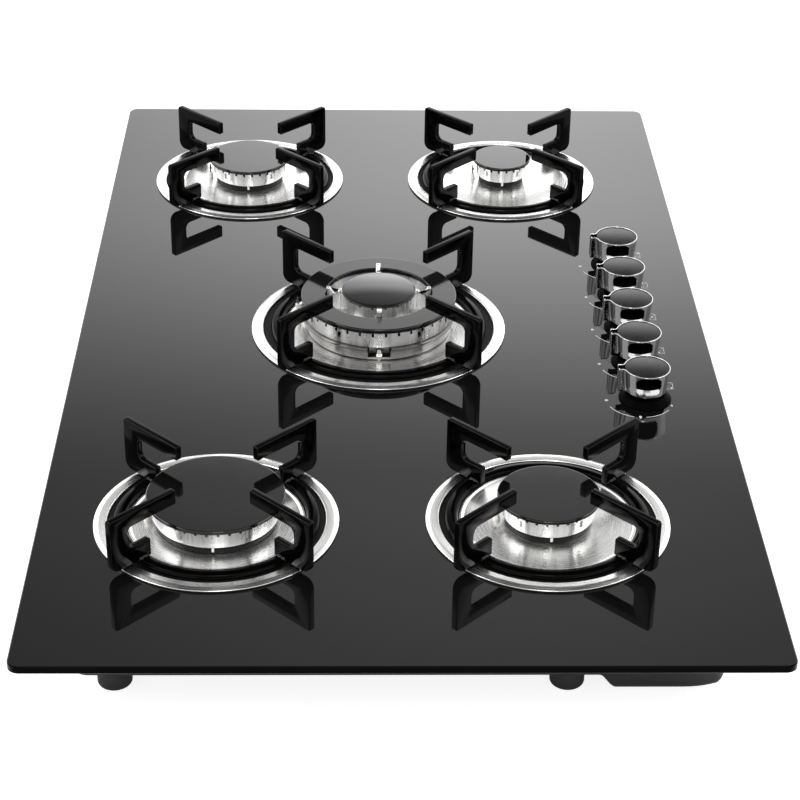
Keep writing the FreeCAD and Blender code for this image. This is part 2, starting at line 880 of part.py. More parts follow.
# ---- knobs and what turns with them ----


def make_knob(number, x):
    body = body_at("knob_%d" % number, x, knob_y, glass_top)
    low, high = size("knob_base"), size("knob_top")
    revolve(body, [(0, low), (size("knob_r"), low), (size("knob_r"), high), (0, high)])
    bore = sketch_on(body, "XY_Plane", low)
    half_bore = size("stem_r") + size("stem_fit")
    box_loop(bore, -half_bore, -half_bore, half_bore, half_bore)
    pocket(body, bore, size("stem_top") + size("stem_end_gap") - low, reverse=True)
    nose = sketch_on(body, "XY_Plane", low)
    root, tip = size("nose_wide") / 2, size("nose_wide") / 2 + size("nose_flare") / 2
    loop(nose, [(-root, size("nose_root")), (root, size("nose_root")),
                (tip, size("nose_reach")), (-tip, size("nose_reach"))])
    pad(body, nose, high - low)
    slot = sketch_on(body, "XY_Plane", high)
    half_slot = size("slot_wide") / 2
    box_loop(slot, -half_slot, size("nose_root"), half_slot, size("nose_reach") + 1)
    pocket(body, slot, size("slot_deep"))
    scoops = sketch_on(body, "XZ_Plane")
    outside = size("knob_r") + 1
    for side in (-1, 1):
        loop(scoops, [
            (outside * side, size("scoop_low")),
            (outside * side, size("scoop_high")),
            (size("scoop_r") * side, size("scoop_high")),
            (size("scoop_r") * side, size("scoop_low") + size("scoop_slope")),
        ])
    pocket(body, scoops, size("scoop_length"), symmetric=True)
    subpart(body, "knob_%d" % number)


def make_stem(number, x):
    body = body_at("tap_stem_%d" % number, x, knob_y, glass_top)
    radius, top = size("stem_r"), size("stem_top")
    revolve(body, [(0, -size("stem_foot")), (radius, -size("stem_foot")), (radius, top), (0, top)])
    flat = sketch_on(body, "XY_Plane", top)
    box_loop(flat, size("stem_flat"), -radius - 1, radius + 1, radius + 1)
    pocket(body, flat, top - size("stem_flat_low"))
    subpart(body, "tap_stem_%d" % number)


def make_spring_seat(number, x):
    """Small dished plate that the stem pushes down inside the tap, and that doesn't turn."""
    body = body_at("spring_seat_%d" % number, x, knob_y, glass_top)
    top = -size("stem_foot")
    half = size("stem_r")
    plate = sketch_on(body, "XY_Plane", top)
    box_loop(plate, -half, -half, half, half)
    pad(body, plate, size("seat_thick"), reverse=True)
    dish = sketch_on(body, "XY_Plane", top)
    inner = half / 2
    box_loop(dish, -inner, -inner, inner, inner)
    pocket(body, dish, size("seat_dish"))
    subpart(body, "spring_seat_%d" % number)


def make_bezels():
    bezel = body_at("bezel")
    hole = size("stem_r") + size("stem_pass")
    revolve(bezel, [(hole, 0), (size("bezel_r"), 0), (size("bezel_top_r"), size("bezel_tall")),
                    (hole, size("bezel_tall"))])
    copies("knob_bezels", bezel, [(x, knob_y, glass_top) for x in KNOB_SPOTS])


def make_knobs():
    for number, x in enumerate(KNOB_SPOTS, start=1):
        make_knob(number, x)
        make_stem(number, x)
        make_spring_seat(number, x)
    make_bezels()


# ---- gas taps, rail, inlet and pipes ----


def hexagon(sketch, x, y, radius):
    """Six-sided outline with corners at a radius, two of them level with the middle."""
    half = radius * math.cos(math.radians(30))
    loop(sketch, [
        (x + radius, y),
        (x + radius / 2, y + half),
        (x - radius / 2, y + half),
        (x - radius, y),
        (x - radius / 2, y - half),
        (x + radius / 2, y - half),
    ])


def make_taps():
    tap = body_at("tap")
    half = size("tap_half")
    block = sketch_on(tap, "XY_Plane", -size("tap_bottom"))
    box_loop(block, -half, -half, half, half)
    pad(tap, block, size("tap_bottom") - size("tap_top"))
    bonnet = sketch_on(tap, "XY_Plane", -size("tap_top"))
    box_loop(bonnet, -size("tap_bonnet_long"), -size("tap_bonnet_half"),
             size("tap_bonnet_long"), size("tap_bonnet_half"))
    pad(tap, bonnet, size("tap_bonnet_thick"))
    magnet = sketch_on(tap, "YZ_Plane", half)
    hexagon(magnet, as_size(0), -size("magnet_low"), size("magnet_r"))
    pad(tap, magnet, size("magnet_long"))
    nut = sketch_on(tap, "XZ_Plane", -half)
    hexagon(nut, as_size(0), -size("pipe_low"), size("nut_r"))
    pad(tap, nut, size("nut_long"), reverse=True)
    bore = sketch_on(tap, "XY_Plane", size("tap_bonnet_thick") - size("tap_top"))
    half_bore = size("stem_r") + size("tap_bore_clear")
    box_loop(bore, -half_bore, -half_bore, half_bore, half_bore)
    pocket(tap, bore, size("tap_bore_bottom") - size("tap_top") + size("tap_bonnet_thick"))
    copies("gas_taps", tap, [(x, knob_y, glass_top) for x in KNOB_SPOTS])


def make_rail():
    """Square tube along the backs of the taps, then towards the rear to the gas inlet."""
    body = body_at("rail_tube", z=glass_top - size("rail_top") - size("rail_wide"))
    front = knob_y + size("tap_half")
    wide = size("rail_wide")
    right = inlet_x + wide / 2
    tube = sketch_on(body, "XY_Plane")
    loop(tube, [
        (-size("rail_left"), front),
        (right, front),
        (right, inlet_y + wide / 2),
        (right - wide, inlet_y + wide / 2),
        (right - wide, front + wide),
        (-size("rail_left"), front + wide),
    ])
    pad(body, tube, wide)
    group = doc.addObject("Part::Compound", "gas_rail")
    group.Links = [body, make_inlet()]
    subpart(group, "gas_rail")


def make_inlet():
    """Threaded end that points down through the tray, welded under the rail."""
    rail_low = glass_top - size("rail_top") - size("rail_wide")
    collar_low = tray_floor - size("inlet_collar_tall")
    thread_low = collar_low - size("inlet_thread_long")
    body = body_at("inlet_end", inlet_x, inlet_y)
    revolve(body, [
        (size("inlet_bore_r"), thread_low),
        (size("inlet_thread_r"), thread_low),
        (size("inlet_thread_r"), collar_low),
        (size("inlet_collar_r"), collar_low),
        (size("inlet_collar_r"), rail_low),
        (size("inlet_bore_r"), rail_low),
    ])
    return body


def make_brackets():
    """Z-shaped brackets that stand in the channel and carry the rail."""
    low = size("channel_clear") + size("tray_sheet")
    high = glass_top - size("rail_top") - size("rail_wide")
    front = knob_y + size("tap_half")
    thick = size("bracket_thick")
    middle = front + size("rail_wide") / 2
    body = body_at("bracket")
    section = sketch_on(body, "YZ_Plane")
    loop(section, [
        (front, high),
        (front, high - thick),
        (middle, high - thick),
        (middle, low),
        (front + size("rail_wide"), low),
        (front + size("rail_wide"), low + thick),
        (middle + thick, low + thick),
        (middle + thick, high),
    ])
    pad(body, section, size("bracket_wide"), symmetric=True)
    copies("rail_brackets", body, [(-size("bracket_x"), 0, 0), (size("bracket_x"), 0, 0)])


def pipe_solid(points, radius):
    """Round pipe along straight runs, mitred at the corners."""
    path = Part.makePolygon(points)
    direction = (points[1] - points[0]).normalize()
    section = Part.Wire([Part.Circle(points[0], direction, radius).toShape()])
    pipe = path.makePipeShell([section], True, False, 1)
    expected = math.pi * radius ** 2 * path.Length
    if abs(pipe.Volume - expected) > 0.01 * expected:
        raise RuntimeError("a gas pipe's volume is %.1f, not %.1f" % (pipe.Volume, expected))
    return pipe


def make_pipes():
    """From the taps, left to right, to the burners; they lie in one level above the rail."""
    level = glass_top.number - SIZES["pipe_low"]
    start_y = knob_y.number + SIZES["tap_half"] + SIZES["nut_long"]
    spots = {name: (x.number, y.number) for name, x, y, kind in BURNERS}
    spots["wok"] = (0.0, SIZES["wok_y"])
    pipes = []
    for x, name in zip(KNOB_SPOTS, ("front_left", "rear_left", "wok", "rear_right", "front_right")):
        start = FreeCAD.Vector(x.number, start_y, level)
        target = FreeCAD.Vector(spots[name][0], spots[name][1], level)
        corner = FreeCAD.Vector(x.number, start_y + SIZES["pipe_lead"], level)
        towards = (target - corner).normalize()
        end = target - towards * (SIZES["jet_r"] + SIZES["pipe_end_gap"])
        points = [start, end] if name == "wok" else [start, corner, end]
        pipes.append(pipe_solid(points, SIZES["pipe_r"]))
    group = doc.addObject("Part::Feature", "gas_pipes")
    group.Shape = Part.makeCompound(pipes)
    subpart(group, "gas_pipes")


def make_jets():
    """Hexagonal injector holders under the burner bases."""
    jets = []
    low = glass_top - size("neck_low") - size("jet_tall")
    spots = [(name, x, y) for name, x, y, kind in BURNERS] + [("wok", 0, size("wok_y"))]
    for name, x, y in spots:
        jet = doc.addObject("Part::Prism", "jet_" + name)
        jet.Polygon = 6
        bind(jet, "Circumradius", size("jet_r"))
        bind(jet, "Height", size("jet_tall"))
        place(jet, x, y, low)
        jets.append(jet)
    group = doc.addObject("Part::Compound", "injectors")
    group.Links = jets
    subpart(group, "injectors")


def make_pulse_igniter():
    body = body_at("pulse_igniter", 0, half_depth - size("pulse_rear_inset"), tray_floor + size("tray_sheet"))
    case = sketch_on(body, "XY_Plane")
    half_long, half_wide = size("pulse_long") / 2, size("pulse_wide") / 2
    box_loop(case, -half_long, -half_wide, half_long, half_wide)
    pad(body, case, size("pulse_tall"))
    pins = sketch_on(body, "XY_Plane", size("terminal_tall"))
    for step in (-2, -1, 0, 1, 2):
        low_x = size("terminal_pitch") * step - size("terminal_wide") / 2
        box_loop(pins, low_x, -half_wide - size("terminal_long"), low_x + size("terminal_wide"), -half_wide)
    pad(body, pins, size("terminal_tall"))
    subpart(body, "pulse_igniter")


make_glass()
make_seal()
make_tray()
make_feet()
make_pans()
make_burners()
make_supports()
make_ignition()
make_knobs()
make_taps()
make_rail()
make_brackets()
make_pipes()
make_jets()
make_pulse_igniter()
doc.recompute()

# ---- checks, then one STEP file for each sub-part ----

problems = []
for item in doc.Objects:
    if "Invalid" in item.State or "Error" in item.State:
        problems.append("%s is %s" % (item.Name, item.State))
    if item.TypeId in ("PartDesign::Pocket", "PartDesign::Groove"):
        if item.BaseFeature is None or item.Shape.Volume > item.BaseFeature.Shape.Volume - 1e-3:
            problems.append("%s cuts nothing" % item.Name)
for item in subparts:
    if item.Shape.isNull() or not item.Shape.isValid():
        problems.append("%s has no valid shape" % item.Label)
if problems:
    raise RuntimeError("; ".join(problems))

os.makedirs("parts", exist_ok=True)
for item in subparts:
    item.Shape.exportStep(os.path.join("parts", item.Label + ".step"))
print("wrote %d sub-parts" % len(subparts))
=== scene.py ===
import math

import bpy
import numpy as np
from mathutils import Matrix, Vector


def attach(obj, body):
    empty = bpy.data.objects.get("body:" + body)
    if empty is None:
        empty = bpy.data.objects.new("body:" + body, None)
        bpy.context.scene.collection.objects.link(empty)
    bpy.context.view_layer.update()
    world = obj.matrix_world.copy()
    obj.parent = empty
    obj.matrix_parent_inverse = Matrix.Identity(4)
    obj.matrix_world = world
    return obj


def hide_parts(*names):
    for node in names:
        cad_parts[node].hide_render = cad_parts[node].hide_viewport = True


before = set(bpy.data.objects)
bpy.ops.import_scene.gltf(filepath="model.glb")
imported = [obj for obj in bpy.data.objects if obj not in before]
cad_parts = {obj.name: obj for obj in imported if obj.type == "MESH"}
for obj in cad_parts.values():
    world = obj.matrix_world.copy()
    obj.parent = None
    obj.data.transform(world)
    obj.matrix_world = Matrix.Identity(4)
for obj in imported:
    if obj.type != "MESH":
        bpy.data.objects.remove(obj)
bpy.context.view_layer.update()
print("frame loaded")

glassTop = 0.062          # height of the glass surface
wokY = 0.012
knobY = -0.194
knobX = [-0.113, -0.0565, 0.0, 0.0565, 0.113]
burners = {               # centre, cap radius, number of flame ports
    "rearLeft": dict(cad="rear_left", at=(-0.284, 0.129), cap=0.0490, ports=36),
    "frontLeft": dict(cad="front_left", at=(-0.284, -0.105), cap=0.0365, ports=28),
    "rearRight": dict(cad="rear_right", at=(0.284, 0.129), cap=0.0365, ports=28),
    "frontRight": dict(cad="front_right", at=(0.284, -0.105), cap=0.0265, ports=20),
}
fullTurn = 2 * math.pi
uvPerMetre = 20           # length of the UV map for a metre of surface
nudge = 0.00001           # keeps a test of height clear of the row of points it is about
halfStep = 0.00003        # half the distance between two rows of points that make a sharp step


# Quads over a grid of points, with UVs and a material number for each. Columns run round, rows run along; the
# outside is on the right hand of a walk along the columns with the rows to the left. A first or last row of
# one repeated point becomes a pole of triangles; startFace and endFace close such a row with one flat face.
# Where the grid closes, u and v have one value more than it has columns and rows.
def gridPatch(rows, u, v, ring=True, loop=False, startFace=False, endFace=False, slot=0):
    rows, u, v = np.asarray(rows, float), np.asarray(u, float), np.asarray(v, float)
    nRow, nCol, _ = rows.shape
    perRow = nCol if ring else nCol - 1
    r0, c0 = np.meshgrid(np.arange(nRow if loop else nRow - 1), np.arange(perRow), indexing="ij")
    r1, c1 = (r0 + 1) % nRow, (c0 + 1) % nCol
    quad = np.stack([r0 * nCol + c0, r0 * nCol + c1, r1 * nCol + c1, r1 * nCol + c0], -1).reshape(-1, 4)
    corners = [np.stack([u[c0 + a], v[r0 + b]], -1) for a, b in ((0, 0), (1, 0), (1, 1), (0, 1))]
    uv = np.stack(corners, 2).reshape(-1, 4, 2)
    slots = np.broadcast_to(slot, r0.shape).reshape(-1).copy()
    co = rows.reshape(-1, 3)
    keep = np.ones(len(quad), bool)
    tri, triUv, triSlot = [np.zeros((0, 3), int)], [np.zeros((0, 3, 2))], [np.zeros(0, int)]
    for pole, pick, tip in ((0, [0, 2, 3], 0), (nRow - 1, [0, 1, 2], 2)):
        if loop or np.ptp(rows[pole], axis=0).max() >= 1e-9:
            continue
        first = max(pole - 1, 0) * perRow
        part = slice(first, first + perRow)
        keep[part] = False
        corner = quad[part][:, pick]
        corner[:, tip] = pole * nCol
        tri.append(corner)
        triUv.append(uv[part][:, pick])
        triSlot.append(slots[part])
    ngon = [np.arange(nCol)[::-1]] if startFace else []
    if endFace:
        ngon.append((nRow - 1) * nCol + np.arange(nCol))
    return dict(co=co, quad=quad[keep], quadUv=uv[keep], quadSlot=slots[keep], tri=np.concatenate(tri),
        triUv=np.concatenate(triUv), triSlot=np.concatenate(triSlot), ngon=ngon,
        ngonUv=[co[face][:, :2] * uvPerMetre for face in ngon], ngonSlot=[int(slots[0])] * len(ngon))


def moved(patch, x, y, z=glassTop):
    return dict(patch, co=patch["co"] + np.array([x, y, z]))


# One mesh out of patches, at the origin, riding on a CAD body. Points that no face uses are left out.
def makePiece(name, patches, materials, body, replaces=(), sharp=40):
    shift = np.cumsum([0] + [len(p["co"]) for p in patches[:-1]])
    quad, tri = (np.concatenate([p[kind] + s for p, s in zip(patches, shift)]) for kind in ("quad", "tri"))
    ngon = [face + s for p, s in zip(patches, shift) for face in p["ngon"]]
    uv = [p[kind].reshape(-1, 2) for kind in ("quadUv", "triUv") for p in patches]
    uv += [face for p in patches for face in p["ngonUv"]]
    slots = [p[kind] for kind in ("quadSlot", "triSlot", "ngonSlot") for p in patches]
    loops = np.concatenate([quad.ravel(), tri.ravel()] + ngon).astype(int)
    sizes = np.concatenate([np.full(len(quad), 4), np.full(len(tri), 3), [len(f) for f in ngon]]).astype(int)
    used, loops = np.unique(loops, return_inverse=True)
    co = np.concatenate([p["co"] for p in patches])[used]
    mesh = bpy.data.meshes.new(name)
    mesh.vertices.add(len(co))
    mesh.vertices.foreach_set("co", co.astype(np.float32).ravel())
    mesh.loops.add(len(loops))
    mesh.loops.foreach_set("vertex_index", loops.astype(np.int32).ravel())
    mesh.polygons.add(len(sizes))
    mesh.polygons.foreach_set("loop_start", (np.cumsum(sizes) - sizes).astype(np.int32))
    mesh.polygons.foreach_set("material_index", np.concatenate(slots).astype(np.int32))
    layer = mesh.uv_layers.new(name="UVMap")
    layer.data.foreach_set("uv", np.concatenate(uv).astype(np.float32).ravel())
    mesh.update(calc_edges=True)
    mesh.validate()
    mesh.shade_smooth()
    mesh.set_sharp_from_angle(angle=math.radians(sharp))
    piece = bpy.data.objects.new(name, mesh)
    bpy.context.scene.collection.objects.link(piece)
    for material in materials:
        mesh.materials.append(material)
    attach(piece, body)
    if replaces:
        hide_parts(*replaces)


# 0 to 1 along 3t^2 - 2t^3, flat at both ends.
def smoothStep(t):
    t = np.clip(t, 0, 1)
    return t * t * (3 - 2 * t)


# Distance walked along a line of points, from 0 on. A closed line ends with the step back to its first point.
def walked(points, closed=True):
    if closed:
        points = np.concatenate([points, points[:1]])
    return np.concatenate([[0], np.cumsum(np.linalg.norm(np.diff(points, axis=0), axis=1))])


# Rounded version of a polygon: each corner (a, b, radius) becomes an arc that touches both its edges; one
# without a radius stays sharp.
def roundedOutline(corners, steps=6):
    parts = []
    for i, (x, y, *radius) in enumerate(corners):
        radius = sum(radius)
        p = np.array([x, y])
        back = np.array(corners[i - 1][:2]) - p
        ahead = np.array(corners[(i + 1) % len(corners)][:2]) - p
        back, ahead = back / np.linalg.norm(back), ahead / np.linalg.norm(ahead)
        half = math.acos(np.clip(back @ ahead, -1, 1)) / 2
        if radius <= 0 or half > 1.55:          # a sharp corner, or one that hardly turns
            parts.append(p[None])
            continue
        reach = radius / math.tan(half)
        middle = p + (back + ahead) / np.linalg.norm(back + ahead) * radius / math.sin(half)
        a, b = p + back * reach - middle, p + ahead * reach - middle
        startAngle = math.atan2(a[1], a[0])
        sweep = (math.atan2(b[1], b[0]) - startAngle + math.pi) % fullTurn - math.pi
        t = startAngle + sweep * np.linspace(0, 1, steps + 1)
        parts.append(middle + radius * np.stack([np.cos(t), np.sin(t)], -1))
    return np.concatenate(parts)


# Inward shift of a closed outline by d, along the bisector at each point.
def inset(outline, d):
    ahead = np.roll(outline, -1, 0) - outline
    ahead /= np.maximum(np.linalg.norm(ahead, axis=1, keepdims=True), 1e-12)
    back = np.roll(ahead, 1, 0)
    normal = np.stack([ahead[:, 1] + back[:, 1], -ahead[:, 0] - back[:, 0]], -1)
    normal /= np.maximum((normal ** 2).sum(1, keepdims=True) / 2, 0.25)
    return outline - normal * d


# Flat plate of an outline: rows of the outline shrink by the edge's quarter circle near both faces.
def platePatch(outline, thickness, edge=0.0004, steps=3):
    t = np.linspace(0, math.pi / 2, steps + 1)
    shrink = edge * (1 - np.sin(t))
    level = edge * (1 - np.cos(t))
    insets = np.concatenate([shrink, shrink[::-1]])
    levels = np.concatenate([-thickness / 2 + level, thickness / 2 - level[::-1]])
    rows = np.stack([np.concatenate([inset(outline, d), np.full((len(outline), 1), w)], 1)
        for d, w in zip(insets, levels)])
    return gridPatch(rows, walked(outline) * uvPerMetre,
        np.linspace(0, thickness * uvPerMetre, len(rows) + 1), startFace=True, endFace=True)


# Stands a plate up: its first axis points outwards from the middle, its second up, turned about +Z.
def upright(patch, turn):
    a, b, w = patch["co"].T
    outward = np.array([math.cos(turn), math.sin(turn), 0.0])
    side = np.array([math.sin(turn), -math.cos(turn), 0.0])
    co = a[:, None] * outward + b[:, None] * np.array([0, 0, 1.0]) + w[:, None] * side
    return dict(patch, co=co)


# Profile of corners (radius, height, rounding) turned about +Z. One from axis to axis closes in poles, any
# other one closes on itself. dent gives the radius at each point where the piece isn't round.
def turnedPatch(corners, columns=96, steps=5, slot=0, angles=None, dent=None):
    profile = roundedOutline(corners, steps)
    onAxis = corners[0][0] == 0 and corners[-1][0] == 0
    if angles is None:
        angles = np.linspace(0, fullTurn, columns, endpoint=False)
    radius, height = (np.repeat(column, len(angles), 1) for column in (profile[:, :1], profile[:, 1:]))
    if dent is not None:
        radius = dent(radius, height, angles[None, :])
    rows = np.stack([radius * np.cos(angles), radius * np.sin(angles), height], -1)
    along = walked(profile, not onAxis) * uvPerMetre
    return gridPatch(rows, np.append(angles, angles[0] + fullTurn) / fullTurn, along, loop=not onAxis,
        slot=slot)


# Gives the faces of a turned patch whose middle lies in a ring of radius and height another material number.
def paintRing(patch, innerRadius, outerRadius, low, high, slot):
    middle = patch["co"][patch["quad"]].mean(1)
    radius = np.hypot(middle[:, 0], middle[:, 1])
    inside = (radius > innerRadius) & (radius < outerRadius) & (middle[:, 2] > low) & (middle[:, 2] < high)
    patch["quadSlot"] = np.where(inside, slot, patch["quadSlot"])
    return patch


# Angles for a turned piece with slots: two close together at each side of a slot, and fillers between slots.
def slotAngles(centres, halfWidth, fillers=5):
    side = 0.0015
    edges = np.array([-halfWidth - side, -halfWidth, halfWidth, halfWidth + side])
    centres = np.sort(np.asarray(centres, float) % fullTurn)[:, None]
    gaps = np.diff(np.append(centres, centres[0] + fullTurn))[:, None]
    fill = np.linspace(0, 1, fillers + 2)[1:-1]
    filler = centres + (halfWidth + side) + fill * (gaps - 2 * (halfWidth + side))
    return np.sort(np.concatenate([(centres + edges).ravel(), filler.ravel()]))


# True where an angle lies inside one of the slots.
def inSlot(angles, centres, halfWidth):
    away = (angles[..., None] - np.asarray(centres) + math.pi) % fullTurn - math.pi
    return (np.abs(away) < halfWidth + 1e-4).any(-1)


# Middles of so many slots, evenly round, none at angle 0.
def evenSlots(count):
    return (np.arange(count) + 0.5) / count * fullTurn


# Angles in order and without doubles.
def tidyAngles(*parts):
    return np.unique(np.round(np.concatenate(parts) % fullTurn, 6))


def newGroup(name, inputs, outputs):
    group = bpy.data.node_groups.new(name, "ShaderNodeTree")
    for socketName, value in inputs.items():
        socket = group.interface.new_socket(socketName, in_out="INPUT", socket_type="NodeSocketFloat")
        socket.default_value = value
    for socketName in outputs:
        group.interface.new_socket(socketName, in_out="OUTPUT", socket_type="NodeSocketFloat")
    return group, group.nodes.new("NodeGroupInput"), group.nodes.new("NodeGroupOutput")


# A shader node: links feed its sockets; values set its sockets or, where it has no such socket, its settings.
def add(tree, kind, links=None, **values):
    node = tree.nodes.new("ShaderNode" + kind)
    for key, value in values.items():
        if key in node.inputs:
            node.inputs[key].default_value = value
        else:
            setattr(node, key, value)
    for socket, source in (links or {}).items():
        tree.links.new(source, node.inputs[socket])
    return node


def mathNode(tree, operation, a, b=None, clamp=False):
    node = add(tree, "Math", operation=operation, use_clamp=clamp)
    for socket, value in zip(node.inputs, (a, b)):
        if isinstance(value, (int, float)):
            socket.default_value = value
        elif value is not None:
            tree.links.new(value, socket)
    return node.outputs[0]


# A group's noise, its middle third spread between the group's Low and High.
def spreadNoise(group, noise, start, end):
    ends = {"Value": noise.outputs[0], "To Min": start.outputs["Low"], "To Max": start.outputs["High"]}
    spread = add(group, "MapRange", ends, **{"From Min": 0.35, "From Max": 0.65})
    group.links.new(spread.outputs[0], end.inputs["Value"])


# Even speckle: noise on Object coordinates, spread between two values.
def makeSpeckle():
    group, start, end = newGroup("speckle", {"Scale": 400.0, "Low": 0.2, "High": 0.4}, ("Value", "Mask"))
    place = add(group, "TexCoord")
    noise = add(group, "TexNoise", {"Vector": place.outputs["Object"], "Scale": start.outputs["Scale"]},
        Detail=4.0, Roughness=0.6)
    spreadNoise(group, noise, start, end)
    group.links.new(noise.outputs[0], end.inputs["Mask"])
    return group


# Turned grain: noise stretched round the piece, so that its lines follow the UV map's first direction.
def makeTurnedGrain():
    group, start, end = newGroup("turnedGrain", {"Lines": 60.0, "Round": 3.0, "Low": 0.15, "High": 0.35},
        ("Value", "Height"))
    place = add(group, "TexCoord")
    split = add(group, "SeparateXYZ", {"Vector": place.outputs["UV"]})
    turn = mathNode(group, "MULTIPLY", split.outputs["X"], fullTurn)
    roundX = mathNode(group, "MULTIPLY", mathNode(group, "COSINE", turn), start.outputs["Round"])
    roundY = mathNode(group, "MULTIPLY", mathNode(group, "SINE", turn), start.outputs["Round"])
    lines = mathNode(group, "MULTIPLY", split.outputs["Y"], start.outputs["Lines"])
    joined = add(group, "CombineXYZ", {"X": roundX, "Y": roundY, "Z": lines})
    noise = add(group, "TexNoise", {"Vector": joined.outputs[0]}, Scale=1.0, Detail=5.0, Roughness=0.65)
    spreadNoise(group, noise, start, end)
    group.links.new(noise.outputs[0], end.inputs["Height"])
    return group


# Painted edge highlight: a mask that is high where the surface turns sharply, broken up by noise.
def makePaintedEdgeHighlight():
    group, start, end = newGroup("paintedEdgeHighlight", {"Reach": 0.0006, "Amount": 0.5}, ("Mask",))
    place = add(group, "TexCoord")
    bevel = add(group, "Bevel", {"Radius": start.outputs["Reach"]}, samples=4)
    surface = add(group, "NewGeometry")
    dot = add(group, "VectorMath", {0: bevel.outputs[0], 1: surface.outputs["Normal"]},
        operation="DOT_PRODUCT")
    edge = mathNode(group, "MULTIPLY", mathNode(group, "SUBTRACT", 1.0, dot.outputs["Value"]), 6.0,
        clamp=True)
    noise = add(group, "TexNoise", {"Vector": place.outputs["Object"]}, Scale=180.0, Detail=3.0)
    broken = mathNode(group, "MULTIPLY", edge, noise.outputs[0])
    group.links.new(mathNode(group, "MULTIPLY", broken, start.outputs["Amount"], clamp=True),
        end.inputs["Mask"])
    return group


speckle = makeSpeckle()
turnedGrain = makeTurnedGrain()
paintedEdgeHighlight = makePaintedEdgeHighlight()
print("node groups ready")

socketNames = dict(metallic="Metallic", specular="Specular IOR Level", ior="IOR", anisotropic="Anisotropic",
    turned="Anisotropic Rotation", subsurface="Subsurface Weight", roughness="Roughness")


def newMaterial(name, color, **values):
    material = bpy.data.materials.new(name)
    material.use_nodes = True
    tree = material.node_tree
    shader = tree.nodes["Principled BSDF"]
    shader.inputs["Base Color"].default_value = (*color, 1.0)
    for key, value in values.items():
        shader.inputs[socketNames[key]].default_value = value
    material.diffuse_color = (*color, 1.0)
    return material, tree, shader


# Two colours mixed by a mask, into Base Color.
def tint(tree, shader, mask, low, high):
    mix = add(tree, "Mix", data_type="RGBA")
    mix.inputs[6].default_value = (*low, 1.0)
    mix.inputs[7].default_value = (*high, 1.0)
    tree.links.new(mask, mix.inputs[0])
    tree.links.new(mix.outputs[2], shader.inputs["Base Color"])


# A group in a material: its Value drives the roughness, between two given ends.
def useGrain(tree, shader, group, rough, **values):
    grain = add(tree, "Group", node_tree=group, **values, Low=rough[0], High=rough[1])
    tree.links.new(grain.outputs["Value"], shader.inputs["Roughness"])
    return grain


def bump(tree, shader, height, strength, depth):
    relief = add(tree, "Bump", {"Height": height}, Strength=strength, Distance=depth)
    tree.links.new(relief.outputs[0], shader.inputs["Normal"])


# Metal with turned or spun lines that run round the piece. Its highlights spread across the lines.
def spunMetal(name, low, high, rough, lines, roundness=3.0, strength=0.15, anisotropic=0.5, depth=0.00002):
    material, tree, shader = newMaterial(name, high, metallic=1.0, anisotropic=anisotropic, turned=0.25)
    grain = useGrain(tree, shader, turnedGrain, rough, Lines=lines, Round=roundness)
    tint(tree, shader, grain.outputs["Height"], low, high)
    bump(tree, shader, grain.outputs["Height"], strength, depth)
    tangent = add(tree, "Tangent", direction_type="UV_MAP", uv_map="UVMap")
    tree.links.new(tangent.outputs[0], shader.inputs["Tangent"])
    return material


# Plain solid finish: speckled roughness, slight colour change and a fine bump.
def plainFinish(name, low, high, rough, scale, strength=0.1, depth=0.00005, **values):
    material, tree, shader = newMaterial(name, high, **values)
    grain = useGrain(tree, shader, speckle, rough, Scale=scale)
    tint(tree, shader, grain.outputs["Mask"], low, high)
    bump(tree, shader, grain.outputs["Mask"], strength, depth)
    return material


# Enamel: dark and glossy, with a faint orange peel and a painted highlight that makes its edges a little
# paler.
def enamelFinish(name, base, rough, peelScale, peel, highlightColor, highlightAmount, **values):
    material, tree, shader = newMaterial(name, base, **values)
    grain = useGrain(tree, shader, speckle, rough, Scale=peelScale)
    paintedHighlight = add(tree, "Group", node_tree=paintedEdgeHighlight, Reach=0.0005, Amount=highlightAmount)
    tint(tree, shader, paintedHighlight.outputs["Mask"], base, highlightColor)
    bump(tree, shader, grain.outputs["Mask"], peel, 0.00004)
    return material


def grey(value):
    return (value, value, value)


glassLook = dict(color=(0.0028, 0.0028, 0.0031), pale=(0.0038, 0.0038, 0.0042), smear=(0.012, 0.04),
    smearScale=9.0, ior=1.52, flat=0.95)
g = glassLook
blackGlass = plainFinish("blackGlass", g["color"], g["pale"], g["smear"], g["smearScale"], strength=0.0,
    ior=g["ior"])
# Painted shade on the ground edge of the glass: its upright faces are made metallic with the glass's
# near-black colour, so they mirror far less than the two flat faces.
glassTree = blackGlass.node_tree
glassSide = add(glassTree, "SeparateXYZ", {"Vector": add(glassTree, "NewGeometry").outputs["Normal"]})
steepness = mathNode(glassTree, "ABSOLUTE", glassSide.outputs["Z"])
glassTree.links.new(mathNode(glassTree, "LESS_THAN", steepness, g["flat"]),
    glassTree.nodes["Principled BSDF"].inputs["Metallic"])

# Spun and turned metals: darker and paler colour, roughness, lines along the profile.
spunSteel = spunMetal("spunSteel", (0.82, 0.815, 0.805), (0.92, 0.915, 0.905), (0.21, 0.29), 110.0,
    strength=0.06, anisotropic=0.8)
